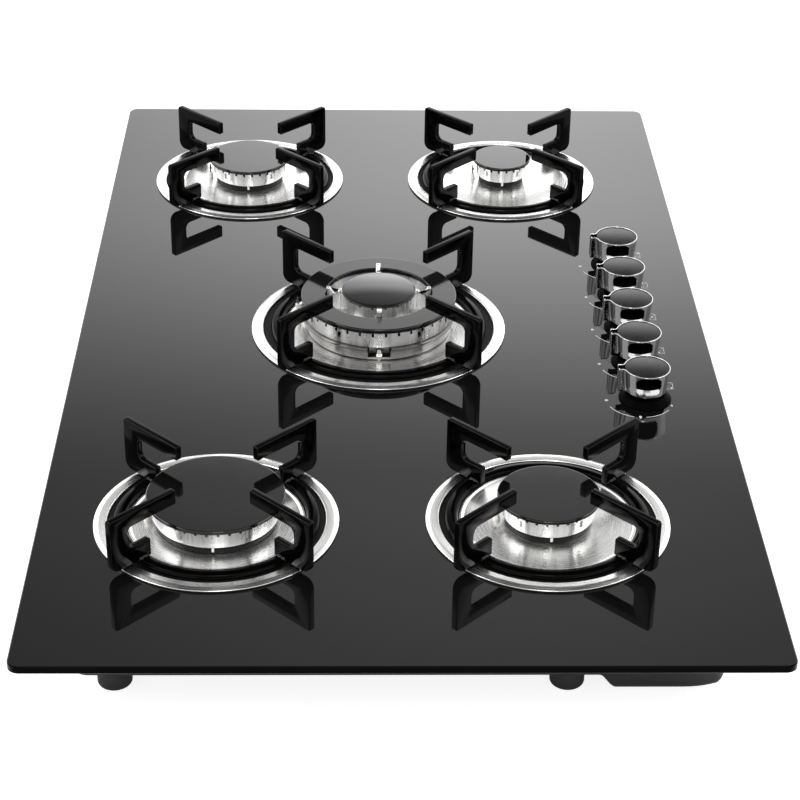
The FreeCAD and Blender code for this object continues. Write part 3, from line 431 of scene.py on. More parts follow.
# Darker steel for the foot of the pans' outer wall: painted shade and reflection of the dark glass under the
# rim.
panWallShade = spunMetal("panWallShade", grey(0.10), grey(0.17), (0.18, 0.28), 60.0, strength=0.05)
drumAlloy = spunMetal("drumAlloy", (0.15, 0.148, 0.145), (0.21, 0.207, 0.203), (0.24, 0.32), 60.0,
    strength=0.02, anisotropic=0.9)
crownAlloy = spunMetal("crownAlloy", (0.34, 0.34, 0.335), (0.94, 0.94, 0.93), (0.24, 0.32), 0.4,
    roundness=5.0, strength=0.03, anisotropic=0.92)
knobMetal = spunMetal("knobMetal", grey(0.42), grey(0.56), (0.10, 0.15), 1.0, roundness=2.0, strength=0.008,
    anisotropic=0.8)
pinSteel = spunMetal("pinSteel", (0.66, 0.65, 0.63), (0.86, 0.85, 0.83), (0.16, 0.28), 60.0)
sparkSteel = spunMetal("sparkSteel", grey(0.05), (0.12, 0.115, 0.11), (0.3, 0.5), 60.0)

# Enamels: colour, roughness, scale and height of the peel, colour and amount of the painted edge highlight.
capEnamel = enamelFinish("capEnamel", (0.003, 0.003, 0.0032), (0.04, 0.09), 60.0, 0.0, grey(0.10), 0.5,
    ior=1.5)
ringEnamel = enamelFinish("ringEnamel", (0.006, 0.006, 0.0065), (0.07, 0.13), 900.0, 0.02, grey(0.1), 0.4,
    ior=1.45)
armEnamel = enamelFinish("armEnamel", (0.0008, 0.0008, 0.0009), (0.08, 0.15), 320.0, 0.04, grey(0.44), 0.9,
    ior=1.4, specular=0.07)

# Plain finishes: darker and paler colour, roughness, scale of the speckle.
# castDark is near black: partly a dark cast finish, partly painted shade under the crowns.
castDark = plainFinish("castDark", (0.003, 0.003, 0.0033), (0.008, 0.008, 0.0083), (0.4, 0.6), 700.0,
    strength=0.3, depth=0.0002, specular=0.15)
portShade = plainFinish("portShade", grey(0.003), grey(0.007), (0.5, 0.7), 900.0, strength=0.2, specular=0.1)
inlayBlack = plainFinish("inlayBlack", (0.004, 0.004, 0.0042), (0.007, 0.007, 0.0072), (0.2, 0.28), 90.0,
    strength=0.0, specular=0.16)
# Black of the bezels and of the knobs' necks, grooves and wells; it also paints the shade in the upper part
# of the knobs' scoops.
glossBlack = plainFinish("glossBlack", grey(0.0008), grey(0.0016), (0.3, 0.45), 300.0, strength=0.03, ior=1.4,
    specular=0.01)
ceramicWhite = plainFinish("ceramicWhite", (0.78, 0.76, 0.7), (0.86, 0.85, 0.8), (0.12, 0.2), 500.0,
    strength=0.05, subsurface=0.05)
printInk = plainFinish("printInk", grey(0.62), grey(0.72), (0.35, 0.5), 2500.0, strength=0.05)
footRubber = plainFinish("footRubber", grey(0.012), grey(0.022), (0.5, 0.7), 900.0, strength=0.3,
    depth=0.0001)
sealFoam = plainFinish("sealFoam", grey(0.01), grey(0.035), (0.8, 0.95), 1500.0, strength=0.7, depth=0.0004)
trayPaint = plainFinish("trayPaint", (0.012, 0.012, 0.0125), (0.02, 0.02, 0.021), (0.28, 0.42), 650.0,
    strength=0.15, depth=0.00008)
tapBrass = plainFinish("tapBrass", (0.52, 0.39, 0.18), (0.66, 0.52, 0.27), (0.3, 0.5), 600.0, strength=0.2,
    depth=0.0001, metallic=1.0)
zincPlate = plainFinish("zincPlate", (0.45, 0.46, 0.46), (0.62, 0.63, 0.63), (0.25, 0.45), 120.0,
    metallic=1.0)
pipeAlloy = plainFinish("pipeAlloy", (0.62, 0.62, 0.63), (0.74, 0.74, 0.75), (0.25, 0.4), 300.0, metallic=1.0)
boxPlastic = plainFinish("boxPlastic", (0.55, 0.55, 0.53), (0.62, 0.62, 0.6), (0.4, 0.55), 800.0,
    strength=0.2)
print("materials ready")


panLook = dict(small=dict(rim=0.0865, dish=0.0618, columns=224),
    wok=dict(rim=0.1036, dish=0.0763, columns=256), sheet=0.0008, hole=0.0144, middle=0.024, dishHigh=0.0022,
    rimWide=0.0099, rimHigh=0.0028, crest=0.0036, wallHigh=0.0017, beadHigh=0.0011)


# Profile of a spun pan: flat underside, upright outer wall, rolled rim that falls outwards, groove for the
# pan support, small bead and a gently rising dish. The groove is painted near black as painted shade, and the
# foot of the outer wall gets a darker steel as painted shade and reflection of the dark glass.
def panPatch(rim, dish, columns):
    p = panLook
    sheet, rimInner = p["sheet"], rim - p["rimWide"]
    corners = [
        (p["hole"], 0.0),                                         # underside
        (rim - 0.0003, 0.0, 0.0001),
        (rim, 0.0004, 0.0002),                                    # outer wall
        (rim, p["wallHigh"], 0.0006),
        (rim - p["crest"], p["rimHigh"], 0.004),                  # rolled rim
        (rimInner + 0.0009, p["rimHigh"] - 0.00028, 0.0009),
        (rimInner + 0.0004, 0.0019, 0.0005),
        (rimInner, sheet, 0.0005),                                # groove
        (dish + 0.0012, sheet, 0.0003),
        (dish + 0.0008, sheet + p["beadHigh"], 0.0004),           # bead
        (dish - 0.0006, sheet + p["beadHigh"], 0.0006),
        (dish - 0.0022, sheet + 0.0002, 0.002),                   # dish
        (dish - 0.012, sheet + 0.0005, 0.02),
        (p["middle"], p["dishHigh"], 0.004),
        (p["hole"], p["dishHigh"], 0.0),
    ]
    patch = turnedPatch(corners, columns=columns)
    # Painted shade: the groove in near black, then the foot of the outer wall in darker steel.
    paintRing(patch, dish + 0.0008, rimInner + 0.0005, 0.0003, 0.0019, 1)
    return paintRing(patch, rim - 0.0004, rim + 0.0001, -0.0001, 0.0016, 2)


panSteelAndShade = [spunSteel, portShade, panWallShade]
outerPans = [moved(panPatch(**panLook["small"]), *b["at"]) for b in burners.values()]
makePiece("dripPans", outerPans, panSteelAndShade, "cooktop", ["drip_pans"])
wokPan = moved(panPatch(**panLook["wok"]), 0, wokY)
makePiece("dripPanWok", [wokPan], panSteelAndShade, "cooktop", ["drip_pan_wok"])
print("drip pans ready")


supportLook = dict(small=dict(ring=0.0734, reach=0.0965, tip=0.038, top=0.045),
    wok=dict(ring=0.088, reach=0.1115, tip=0.054, top=0.050), ringWide=0.0102, ringLow=0.0011,
    ringHigh=0.0051, thick=0.005, edge=0.0007, foot=0.0034, hookTop=0.017, post=0.015, finger=0.011,
    weld=0.0016, weldsAt=(0.25, 0.6))


# C-shaped arm as a rounded outline of radius and height.
def armOutline(hook, reach, tip, top):
    s = supportLook
    slotWall = reach - s["post"]
    return roundedOutline([(hook, s["foot"], 0.0006), (reach, s["foot"], 0.007), (reach, top, 0.0022),
        (tip, top, 0.0012), (tip, top - s["finger"], 0.0012), (slotWall, top - s["finger"], 0.0052),
        (slotWall, s["hookTop"], 0.0052), (hook, s["hookTop"], 0.0012)], steps=7)


# Weld bead: a low turned dome.
def weldPatch(radius):
    return turnedPatch([(0, 0.0), (radius, 0.0, radius * 0.3), (radius * 0.75, radius * 0.5, radius * 0.3),
        (0, radius * 0.55)], columns=14, steps=3)


# Ring with a rounded top, four arms on its diagonals and welds on both sides of each arm's foot.
def supportPatches(ring, reach, tip, top):
    s = supportLook
    low, high, inner = s["ringLow"], s["ringHigh"], ring - s["ringWide"]
    shoulder = high - 0.0008
    patches = [turnedPatch([(inner + 0.0006, low, 0.0005), (ring - 0.0006, low, 0.0005),
        (ring, low + 0.0012, 0.001), (ring - 0.0014, shoulder, 0.0012),
        (ring - s["ringWide"] / 2, high, 0.006), (inner + 0.0014, shoulder, 0.0012),
        (inner, low + 0.0012, 0.001)], columns=176, steps=4)]
    arm = platePatch(armOutline(inner - 0.0013, reach, tip, top), s["thick"], s["edge"])
    bead = weldPatch(s["weld"])
    for quarter in range(4):
        turn = math.pi / 4 + quarter * math.pi / 2
        patches.append(upright(arm, turn))
        for side in (-s["thick"] / 2, s["thick"] / 2):
            for share in s["weldsAt"]:
                r = ring - s["ringWide"] * share
                x = r * math.cos(turn) - side * math.sin(turn)
                y = r * math.sin(turn) + side * math.cos(turn)
                patches.append(moved(bead, x, y, high - 0.0006))
    return patches


for name, b in burners.items():
    parts = [moved(p, *b["at"]) for p in supportPatches(**supportLook["small"])]
    node = "pan_support_" + b["cad"]
    makePiece("panSupport" + name[0].upper() + name[1:], parts, [armEnamel], node, [node])
parts = [moved(p, 0, wokY) for p in supportPatches(**supportLook["wok"])]
makePiece("panSupportWok", parts, [armEnamel], "pan_support_wok", ["pan_support_wok"])
print("pan supports ready")


baseLook = dict(neck=0.013, low=-0.016, flange=0.0022, step=0.0046, collarTop=0.0079)
crownLook = dict(overhang=0.0036, base=0.008, top=0.0209, portFloor=0.0177, portIn=0.004, portHalf=0.0009,
    windowLow=0.0125, windowHalf=0.0016, windowIn=0.0012, windowTurn=0.6)
capLook = dict(low=0.021, high=0.024)


# Injector cup: a neck through the glass and a stepped collar under the crown, coloured near black: partly its
# own dark cast finish, partly painted shade under the crown.
def basePatch(collar):
    p = baseLook
    narrow = collar - 0.0004
    return turnedPatch([(0, p["low"]), (p["neck"], p["low"], 0.0005), (p["neck"], p["flange"]),
        (narrow, p["flange"], 0.0004), (narrow, p["step"], 0.0002), (collar, p["step"] + 0.0006, 0.0003),
        (collar, p["collarTop"], 0.0002), (0, p["collarTop"])], columns=128, steps=3)


# Turned wall with slots pushed into its side. A slot has its middles, half width, floor, roof and depth; foot
# and inside are the corners before the wall and after its upper edge. shadeFrom is where the shade begins.
def slottedPatch(radius, foot, slots, inside, angles, shadeFrom):
    def dent(r, z, angles):
        for centres, half, low, high, depth in slots:
            cut = inSlot(angles, centres, half) & (z > low + nudge) & (z < high - nudge)
            r = np.where(cut & (r > radius - 0.002), radius - depth, r)
        return r

    top = inside[0][1]
    lows = sorted(slot[2] for slot in slots)
    wall = [(radius, z + side) for z in lows for side in (-halfStep, halfStep)] + [(radius, top)]
    patch = turnedPatch(foot + wall + inside, steps=3, angles=angles, dent=dent)
    return paintRing(patch, radius - 0.0045, radius - 0.0006, shadeFrom, top - 0.0002, 1)


# Crown: short wall whose top edge is cut by flame ports; two wide lighting windows stand on the -X side,
# below the ports.
def crownPatch(radius, ports):
    p = crownLook
    base, top, floor = p["base"], p["top"], p["portFloor"]
    centres = evenSlots(ports)
    half, wide = p["portHalf"] / radius, p["windowHalf"] / radius
    portsAside = round(p["windowTurn"] * ports / fullTurn)
    windows = math.pi + math.pi / ports * (2 * portsAside) * np.array([-1, 1])
    slots = [(centres, half, floor, 1, p["portIn"]), (windows, wide, p["windowLow"], floor, p["windowIn"])]
    foot = [(0, base), (radius - 0.0008, base), (radius - 0.0008, base + 0.0012, 0.0003),
        (radius, base + 0.002, 0.0004)]
    angles = tidyAngles(slotAngles(centres, half, 4), slotAngles(windows, wide, 0))
    return slottedPatch(radius, foot, slots, [(radius - 0.0015, top), (0, top)], angles, floor - nudge)


# Small locating stub under the crown.
def stubPatch(radius=0.0010, low=0.0046, high=0.0086):
    return turnedPatch([(0, low), (radius, low, 0.0003), (radius, high, 0.0001), (0, high)], columns=20,
        steps=3)


# Cap: flat disc with a small rounding at its edge, a hair lower towards the rim.
def capPatch(radius, low, high):
    return turnedPatch([(0, low), (radius - 0.0006, low, 0.0003), (radius, low + 0.0007, 0.0004),
        (radius, high - 0.00010, 0.0009), (radius - 0.0012, high - 0.00009),
        (radius - 0.0018, high - 0.00008), (radius * 0.5, high - 0.00002), (0, high)], columns=176, steps=6)


bases, crowns = [], []
for name, b in burners.items():
    x, y = b["at"]
    crown = b["cap"] - crownLook["overhang"]
    bases.append(moved(basePatch(crown - 0.002), x, y))
    crowns += [moved(crownPatch(crown, b["ports"]), x, y), moved(stubPatch(), x - crown + 0.0012, y)]
    node = "cap_" + b["cad"]
    cap = moved(capPatch(b["cap"], **capLook), x, y)
    makePiece("cap" + name[0].upper() + name[1:], [cap], [capEnamel], node, [node])
makePiece("burnerBases", bases, [castDark], "cooktop", ["burner_bases"])
makePiece("burnerCrowns", crowns, [crownAlloy, portShade], "cooktop", ["burner_crowns"])

cupLook = dict(drum=0.059, lip=0.0625, lipLow=0.0115, top=0.0139, flange=0.0021, notchLow=0.00485,
    notchHalf=0.009, notchDeep=0.007)
wokLook = dict(crown=0.060, base=0.014, plate=0.018, ringIn=0.046, ringTop=0.0279, outerPorts=36,
    portIn=0.004, portHalf=0.0009, portDeep=0.0041, deepHalf=0.0013, deepDeep=0.0087,
    deepSlots=(-160, -126, -95, -64, -32, 32, 64, 95, 126, 160), hub=0.0275, hubTop=0.0329, innerPorts=16,
    hubPortIn=0.0035, hubPortHalf=0.0008, hubPortDeep=0.0025, bridge=0.0040)
wokCapLook = dict(hole=0.0430, radius=0.0630, low=0.028, high=0.0320, inner=0.0300, innerLow=0.033,
    domeEdge=0.0288, domeHigh=0.0366, domeFall=0.0016, domeReach=0.029)


# Wok cup: drum with a lip; towards -X the drum and the lip step in for the flame sensor.
def wokCupPatch():
    p = cupLook
    drum, lip, lipLow, top = p["drum"], p["lip"], p["lipLow"], p["top"]
    half = p["notchHalf"] / drum

    def dent(r, z, angles):
        cut = inSlot(angles, [math.pi], half) & (z > p["notchLow"]) & (r > drum - 0.003)
        return np.where(cut, drum - p["notchDeep"], r)

    neck, foot = baseLook["neck"], baseLook["low"]
    corners = [(0, foot), (neck, foot, 0.0005), (neck, p["flange"]), (drum - 0.0012, p["flange"]),
        (drum, 0.0030, 0.0006), (drum, p["notchLow"] - 0.00005), (drum, p["notchLow"] + 0.00005),
        (drum, lipLow - 0.00042), (drum, lipLow - 0.00022), (drum, lipLow, 0.0002),
        (lip - 0.0006, lipLow, 0.0003), (lip, lipLow + 0.0007, 0.0005), (lip, top - 0.0004, 0.0004),
        (lip - 0.0006, top, 0.0003), (0, top)]
    angles = tidyAngles(slotAngles([math.pi], half, 8), np.linspace(-2.9, 2.9, 150))
    patch = turnedPatch(corners, steps=3, angles=angles, dent=dent)
    # The notch in the drum and the lip is painted near black as painted shade.
    return paintRing(patch, drum - 0.0075, drum - 0.0001, p["notchLow"] - halfStep, top - 0.0001, 1)


# Outer ring and hub of the wok crown, each with its own ports; ten deep slots stand between the ring's ports.
def wokCrownPatches():
    p = wokLook
    crown, hub, ringTop, hubTop, plate = (p[key] for key in ("crown", "hub", "ringTop", "hubTop", "plate"))
    outer, inner = evenSlots(p["outerPorts"]), evenSlots(p["innerPorts"])
    deep = math.pi + np.radians(p["deepSlots"])
    floor, deepFloor, hubFloor = ringTop - p["portDeep"], ringTop - p["deepDeep"], hubTop - p["hubPortDeep"]
    half, deepHalf, hubHalf = p["portHalf"] / crown, p["deepHalf"] / crown, p["hubPortHalf"] / hub
    slots = [(outer, half, floor, 1, p["portIn"]), (deep, deepHalf, deepFloor, floor, p["portIn"])]
    foot = [(0, p["base"]), (crown - 0.0008, p["base"], 0.0003), (crown, p["base"] + 0.001, 0.0003)]
    inside = [(crown - 0.0015, ringTop), (p["ringIn"], ringTop, 0.0003), (p["ringIn"] - 0.001, plate, 0.001),
        (0, plate)]
    angles = tidyAngles(slotAngles(outer, half, 3), slotAngles(deep, deepHalf, 0))
    ring = slottedPatch(crown, foot, slots, inside, angles, deepFloor)
    foot = [(0, plate - 0.001), (hub - 0.001, plate - 0.001), (hub, hubFloor - 0.004, 0.0005)]
    middle = slottedPatch(hub, foot, [(inner, hubHalf, hubFloor, 1, p["hubPortIn"])],
        [(hub - 0.0012, hubTop), (0, hubTop)], slotAngles(inner, hubHalf), hubFloor)
    fin = platePatch(bridgeOutline(), p["bridge"], 0.0007)
    return [ring, middle] + [upright(fin, quarter * math.pi / 2) for quarter in range(4)]


# Bridge from hub to ring, as radius and height: two horns, the outer one higher, with a saddle between.
def bridgeOutline():
    return roundedOutline([
        (0.0225, 0.0165), (0.047, 0.0165), (0.047, 0.0272, 0.0005),                      # foot
        (0.0424, 0.0272, 0.0002), (0.0424, 0.0372, 0.0006), (0.0396, 0.0372, 0.0009),    # outer horn
        (0.0368, 0.0328, 0.002), (0.0340, 0.0326, 0.001),                                # saddle
        (0.0318, 0.0352, 0.0007), (0.0308, 0.0322, 0.0002),                              # inner horn
        (0.0225, 0.0315)], steps=4)


# Ring-shaped outer cap, and an inner cap whose top is a paraboloid.
def wokCapPatches():
    p = wokCapLook
    hole, radius, low, high = p["hole"], p["radius"], p["low"], p["high"]
    ringCap = turnedPatch([(hole, low, 0.0004), (radius - 0.0006, low, 0.0004),
        (radius, low + 0.0007, 0.0005), (radius, high, 0.0010), (radius - 0.0013, high),
        (radius - 0.0019, high), (hole + 0.0018, high), (hole + 0.0012, high), (hole, high, 0.0008)],
        columns=192)
    inner, low = p["inner"], p["innerLow"]
    dome = [(r, p["domeHigh"] - p["domeFall"] * (r / p["domeReach"]) ** 2)
        for r in np.linspace(p["domeEdge"], 0, 22)]
    domeCap = turnedPatch([(0, low), (inner - 0.0006, low, 0.0004), (inner, low + 0.0007, 0.0005),
        (inner - 0.0001, low + 0.0017, 0.0006)] + dome, columns=144, steps=6)
    return moved(ringCap, 0, wokY), moved(domeCap, 0, wokY)


wokCrown = [moved(p, 0, wokY) for p in wokCrownPatches()]
ringCap, domeCap = wokCapPatches()
makePiece("wokCup", [moved(wokCupPatch(), 0, wokY)], [drumAlloy, portShade], "cooktop", ["burner_base_wok"])
makePiece("wokCrown", wokCrown, [crownAlloy, portShade], "cooktop", ["crown_wok"])
makePiece("capWokOuter", [ringCap], [ringEnamel], "cap_wok_outer", ["cap_wok_outer"])
makePiece("capWokInner", [domeCap], [capEnamel], "cap_wok_inner", ["cap_wok_inner"])
print("burners ready")


sparkLook = dict(low=0.0009, body=0.0019, collar=0.0024, pin=0.0007, tip=0.0012, gap=0.0034,
    small=(0.0078, 0.016), wok=(0.022, 0.028))
sensorLook = dict(low=0.0009, sleeve=0.0015, small=dict(top=0.0076, head=0.0011, collar=0.0017),
    wok=dict(top=0.0110, head=0.0022, collar=0.0034), inset=0.0002, wokInset=0.0035)


# Ceramic sleeve with a step, and a steel tip on it with a ring round it.
def sparkPatches(bodyTop, tipTop):
    p = sparkLook
    low, body, collar = p["low"], p["body"], p["collar"]
    sleeve = turnedPatch([(0, low), (collar, low, 0.0002), (collar, bodyTop * 0.45, 0.0003),
        (body, bodyTop * 0.5, 0.0003), (body, bodyTop - 0.0006, 0.0003), (body - 0.0005, bodyTop, 0.0003),
        (0, bodyTop)], columns=28, steps=3)
    tip = turnedPatch([(0, bodyTop - 0.001), (p["pin"], bodyTop - 0.001), (p["pin"], tipTop - 0.0006, 0.0004),
        (0, tipTop)], columns=16, steps=3, slot=1)
    head = turnedPatch([(0, tipTop - 0.0052), (p["tip"], tipTop - 0.0052, 0.0003),
        (p["tip"], tipTop - 0.0036, 0.0003), (0, tipTop - 0.0036)], columns=20, steps=3, slot=1)
    return [sleeve, tip, head]


# Flame sensor: sleeve, collar and a pin with a domed end.
def sensorPatch(top, head, collar):
    low, sleeve = sensorLook["low"], sensorLook["sleeve"]
    return turnedPatch([(0, low), (sleeve, low, 0.0001), (sleeve, top * 0.44, 0.0001),
        (collar, top * 0.46, 0.0002), (collar, top * 0.70, 0.0003), (head, top * 0.76, 0.0002),
        (head, top - 0.0006, 0.0005), (0, top)], columns=36, steps=4)


sparks, sensors = [], []
for b in burners.values():
    x, y = b["at"]
    crown = b["cap"] - crownLook["overhang"]
    sparks += [moved(p, x, y + crown + sparkLook["gap"]) for p in sparkPatches(*sparkLook["small"])]
    sensors.append(moved(sensorPatch(**sensorLook["small"]), x + crown - sensorLook["inset"], y))
sparks += [moved(p, 0, wokY + cupLook["lip"] + sparkLook["gap"]) for p in sparkPatches(*sparkLook["wok"])]
sensors.append(moved(sensorPatch(**sensorLook["wok"]), sensorLook["wokInset"] - cupLook["drum"], wokY))
makePiece("igniters", sparks, [ceramicWhite, sparkSteel], "cooktop", ["igniters"])
makePiece("flameSensors", sensors, [pinSteel], "cooktop", ["flame_sensors"])
print("ignition ready")


knobLook = dict(radius=0.018, footRadius=0.0161, noseTip=0.0223, noseHalf=0.0036, noseFlare=0.0046,
    noseRoot=0.0066, grooveHalf=0.0015, grooveIn=0.0026, grooveFrom=0.015, low=0.0085, high=0.028, rim=0.0009,
    well=0.0011, inlay=0.01695, scoopDeep=0.0041, scoopHalf=0.0112, scoopLow=0.0102, scoopHigh=0.0270,
    shadeFrom=0.31, shadeDepth=0.22, neck=0.0118, neckLow=0.0052, neckHigh=0.0072, collar=0.0140,
    collarLow=0.0078)


# Plan of the knob: a circle that opens into a nose with two flared lips and a groove between them. The last
# column tells how far each point follows the taper of the side, 1 on the circle and 0 at the nose's tip.
def knobOutline():
    p = knobLook
    tip, groove, grooveEnd = p["noseTip"], p["grooveHalf"], p["noseTip"] - p["grooveIn"]
    join = math.asin(p["noseRoot"] / p["radius"])
    start, turn = math.pi / 2 + join, fullTurn - 2 * join
    scoopEdge = [math.pi * k - start + s * np.radians(np.linspace(21, 37, 41))
        for k in (1, 2) for s in (-1, 1)]
    arc = start + np.unique(np.round(np.concatenate([np.linspace(0, turn, 181)] + scoopEdge), 5))
    circle = np.stack([p["radius"] * np.cos(arc), p["radius"] * np.sin(arc), np.ones(len(arc))], -1)
    root = circle[-1, 1]
    right = roundedOutline([(p["noseRoot"], root), (p["noseHalf"], root + 0.0014, 0.0020),
        (p["noseFlare"], tip, 0.0005), (groove, tip, 0.0003), (groove, grooveEnd), (0, grooveEnd)], 4)[1:-1]
    taper = np.clip((tip - 0.0015 - right[:, 1]) / 0.004, 0, 1)
    right = np.column_stack([right, taper])
    left = right[::-1] * [-1, 1, 1]
    return np.concatenate([right, left, circle])[:-1]


# Depth of the finger scoops: a superellipse of power 2.8 on each side, deeper towards its upper edge along
# the smooth step of the height.
def scoopDepth(outline, z):
    p = knobLook
    around = np.arctan2(outline[:, 1], np.abs(outline[:, 0]) + 1e-9) * p["radius"] / p["scoopHalf"]
    level = (z - p["scoopLow"]) / (p["scoopHigh"] - p["scoopLow"])
    inside = 1 - np.abs(around) ** 2.8 - np.abs(2 * level - 1) ** 2.8
    return p["scoopDeep"] * smoothStep(inside / 0.13) * smoothStep(level / 0.56)


def knobPatches():
    p = knobLook
    low, high, rim, scoopLow, scoopHigh = (p[key] for key in ("low", "high", "rim", "scoopLow", "scoopHigh"))
    outline = knobOutline()
    plan, follow = outline[:, :2], outline[:, 2:]
    scoopLevels = np.concatenate([np.linspace(scoopLow, scoopHigh - 0.0026, 24),
        np.linspace(scoopHigh - 0.0024, scoopHigh, 19)])
    steps = [(0.0007, low), (0.0002, low + 0.0002), (0.0, low + 0.0007)]
    steps += [(0.0, z) for z in scoopLevels]
    steps += [(0.0, high - 0.0004), (0.00008, high - 0.0002), (0.00028, high - 0.00003), (0.00045, high),
        (rim - 0.00012, high), (rim, high - 0.00015), (rim + 0.00005, high - p["well"])]
    rows = []
    for shrink, z in steps:
        flat = inset(plan, shrink)
        narrow = (1 - (z - low) / (high - low)) * (p["radius"] - p["footRadius"]) / p["radius"]
        flat = flat * (1 - follow * narrow)
        reach = np.linalg.norm(flat, axis=1, keepdims=True)
        flat = flat * (1 - scoopDepth(outline, z)[:, None] * follow / reach)
        rows.append(np.column_stack([flat, np.full(len(flat), z)]))
    rows = np.stack(rows)
    # The groove and the well are black; the deeper, upper part of the scoops is painted shade in black.
    middle = (plan + np.roll(plan, -1, 0)) / 2
    groove = (np.abs(middle[:, 0]) < p["grooveHalf"] + 0.0001) & (middle[:, 1] > p["grooveFrom"])
    slot = np.zeros((len(rows) - 1, len(outline)), int)
    slot[:, groove] = 2
    slot[-1, :] = 2
    levels = (rows[1:, 0, 2] + rows[:-1, 0, 2]) / 2
    depth = np.stack([scoopDepth(outline, z) for z in levels])
    upper = levels > scoopLow + p["shadeFrom"] * (scoopHigh - scoopLow)
    slot[(depth > p["shadeDepth"] * p["scoopDeep"]) & upper[:, None]] = 2
    along = walked(plan)
    body = gridPatch(rows, along / along[-1], rows[:, 0, 2] * uvPerMetre, slot=slot, startFace=True,
        endFace=True)
    body["ngonSlot"] = [2, 2]
    well = high - p["well"]
    inlay = turnedPatch([(0, well), (p["inlay"], well), (p["inlay"], high - 0.0004, 0.0002),
        (0, high - 0.0001)], steps=4, slot=1)
    neck = turnedPatch([(0, p["neckLow"]), (p["neck"], p["neckLow"], 0.0006),
        (p["neck"], p["neckHigh"], 0.0003), (p["collar"], p["collarLow"], 0.0004),
        (p["collar"], low + 0.0002), (0, low + 0.0002)], columns=72, steps=3, slot=2)
    return [body, inlay, neck]


for number, x in enumerate(knobX, start=1):
    node = "knob_%d" % number
    parts = [moved(p, x, knobY) for p in knobPatches()]
    makePiece("knob%d" % number, parts, [knobMetal, inlayBlack, glossBlack], node, [node],
        sharp=35)


bezelLook = dict(radius=0.0205, top=0.0156, high=0.0052, well=0.0146, wellFloor=0.0014, hole=0.0046)


# Bezel: low cone with a rounded shoulder and a well that the knob's neck stands in.
def bezelPatch():
    p = bezelLook
    return turnedPatch([(p["hole"], 0.0), (p["radius"], 0.0, 0.0001), (p["radius"], 0.0008, 0.0003),
        (p["top"] + 0.0006, p["high"] - 0.0006, 0.0008), (p["top"], p["high"], 0.0004),
        (p["well"], p["high"], 0.0003), (p["well"], p["wellFloor"], 0.0005), (p["hole"], p["wellFloor"])],
        steps=4)


makePiece("knobBezels", [moved(bezelPatch(), x, knobY) for x in knobX], [glossBlack], "cooktop",
    ["knob_bezels"])
print("knobs ready")


markLook = dict(height=0.00006, edge=0.00001, lift=0.45, shift=(-0.0034, 0.0046), line=0.0006, arc=0.0256,
    arcs=((112, 165), (185, 235)), dot=0.0014, highFlame=0.0046, highFlameY=0.002, lowFlame=0.0032,
    lowFlameDeg=251, key=(0.0219, -0.0260), keyHalf=(0.0050, 0.0027), keyLine=0.00017,
    keyStep=(0.0032, 0.0014), keyDot=0.0004, keyOwnDot=0.0010)
burnerPlaces = [(-1, -1), (-1, 1), (0, 0), (1, 1), (1, -1)]     # in the key, of the burner each knob feeds


# Ribbon of constant width along an arc: outer edge forwards, inner edge back.
def arcMark(radius, startDeg, endDeg, width):
    t = np.radians(np.linspace(startDeg, endDeg, 48))
    ring = np.stack([np.cos(t), np.sin(t)], -1)
    return np.concatenate([ring * (radius + width / 2), ring[::-1] * (radius - width / 2)])


def dotMark(x, y, radius, points=20):
    t = np.linspace(0, fullTurn, points, endpoint=False)
    return np.stack([x + radius * np.cos(t), y + radius * np.sin(t)], -1)


# Flame that points to -X: a drop whose width follows a sine, less and less of it towards the point, along the
# power 1.5 of the distance from the foot.
def flameMark(x, y, tall):
    t = np.linspace(0, fullTurn, 28, endpoint=False)
    along = -np.cos(t) * 0.5
    wide = np.sin(t) * 0.30 * (1 - (along + 0.5) ** 1.5 * 0.9)
    return np.stack([-along, wide], -1) * tall + [x, y]


# Frame of a small rectangle, as four thin bars.
def barMarks(x, y, halfX, halfY, line):
    corners = np.array([[-1, -1], [1, -1], [1, 1], [-1, 1]])
    bars = [(0, side * halfY, halfX, line) for side in (1, -1)]
    bars += [(side * halfX, 0, line, halfY) for side in (1, -1)]
    return [corners * [a, b] + [x + dx, y + dy] for dx, dy, a, b in bars]


# Marks round one knob: dot, two arcs, large and small flame, and a key of five dots in a frame.
def knobMarks(number):
    m = markLook
    lowTurn = math.radians(m["lowFlameDeg"])
    shapes = [dotMark(0, m["arc"], m["dot"])]
    shapes += [arcMark(m["arc"], start, end, m["line"]) for start, end in m["arcs"]]
    shapes += [flameMark(-m["arc"], m["highFlameY"], m["highFlame"]),
        flameMark(m["arc"] * math.cos(lowTurn), m["arc"] * math.sin(lowTurn), m["lowFlame"])]
    shapes += barMarks(*m["key"], *m["keyHalf"], m["keyLine"])
    for place, step in enumerate(burnerPlaces):
        x, y = np.array(m["key"]) + np.array(step) * m["keyStep"]
        shapes.append(dotMark(x, y, m["keyOwnDot"] if place == number else m["keyDot"], 14))
    return [platePatch(shape, m["height"], m["edge"], 1) for shape in shapes]


shiftX, shiftY = markLook["shift"]
markZ = glassTop + markLook["height"] * markLook["lift"]
marks = [moved(plate, x + shiftX, knobY + shiftY, markZ)
    for number, x in enumerate(knobX) for plate in knobMarks(number)]
makePiece("printedMarks", marks, [printInk], "cooktop", sharp=60)
print("marks ready")


trayLook = dict(halfX=0.414, halfY=0.233, slope=0.014, channelSlope=0.002, corner=0.022, floor=0.016,
    top=0.056, channelFloor=0.004, channelRear=-0.145, channelRun=0.012, frontRise=0.006, frontFrom=-0.192,
    frontRun=0.028, sheet=0.0008, bend=0.006, bendsX=(-0.404, 0.404, -0.396, 0.396),
    bendsY=(-0.225, -0.217, -0.139, 0.214, 0.224), flange=(0.434, 0.239), opening=(0.4132, 0.2322))


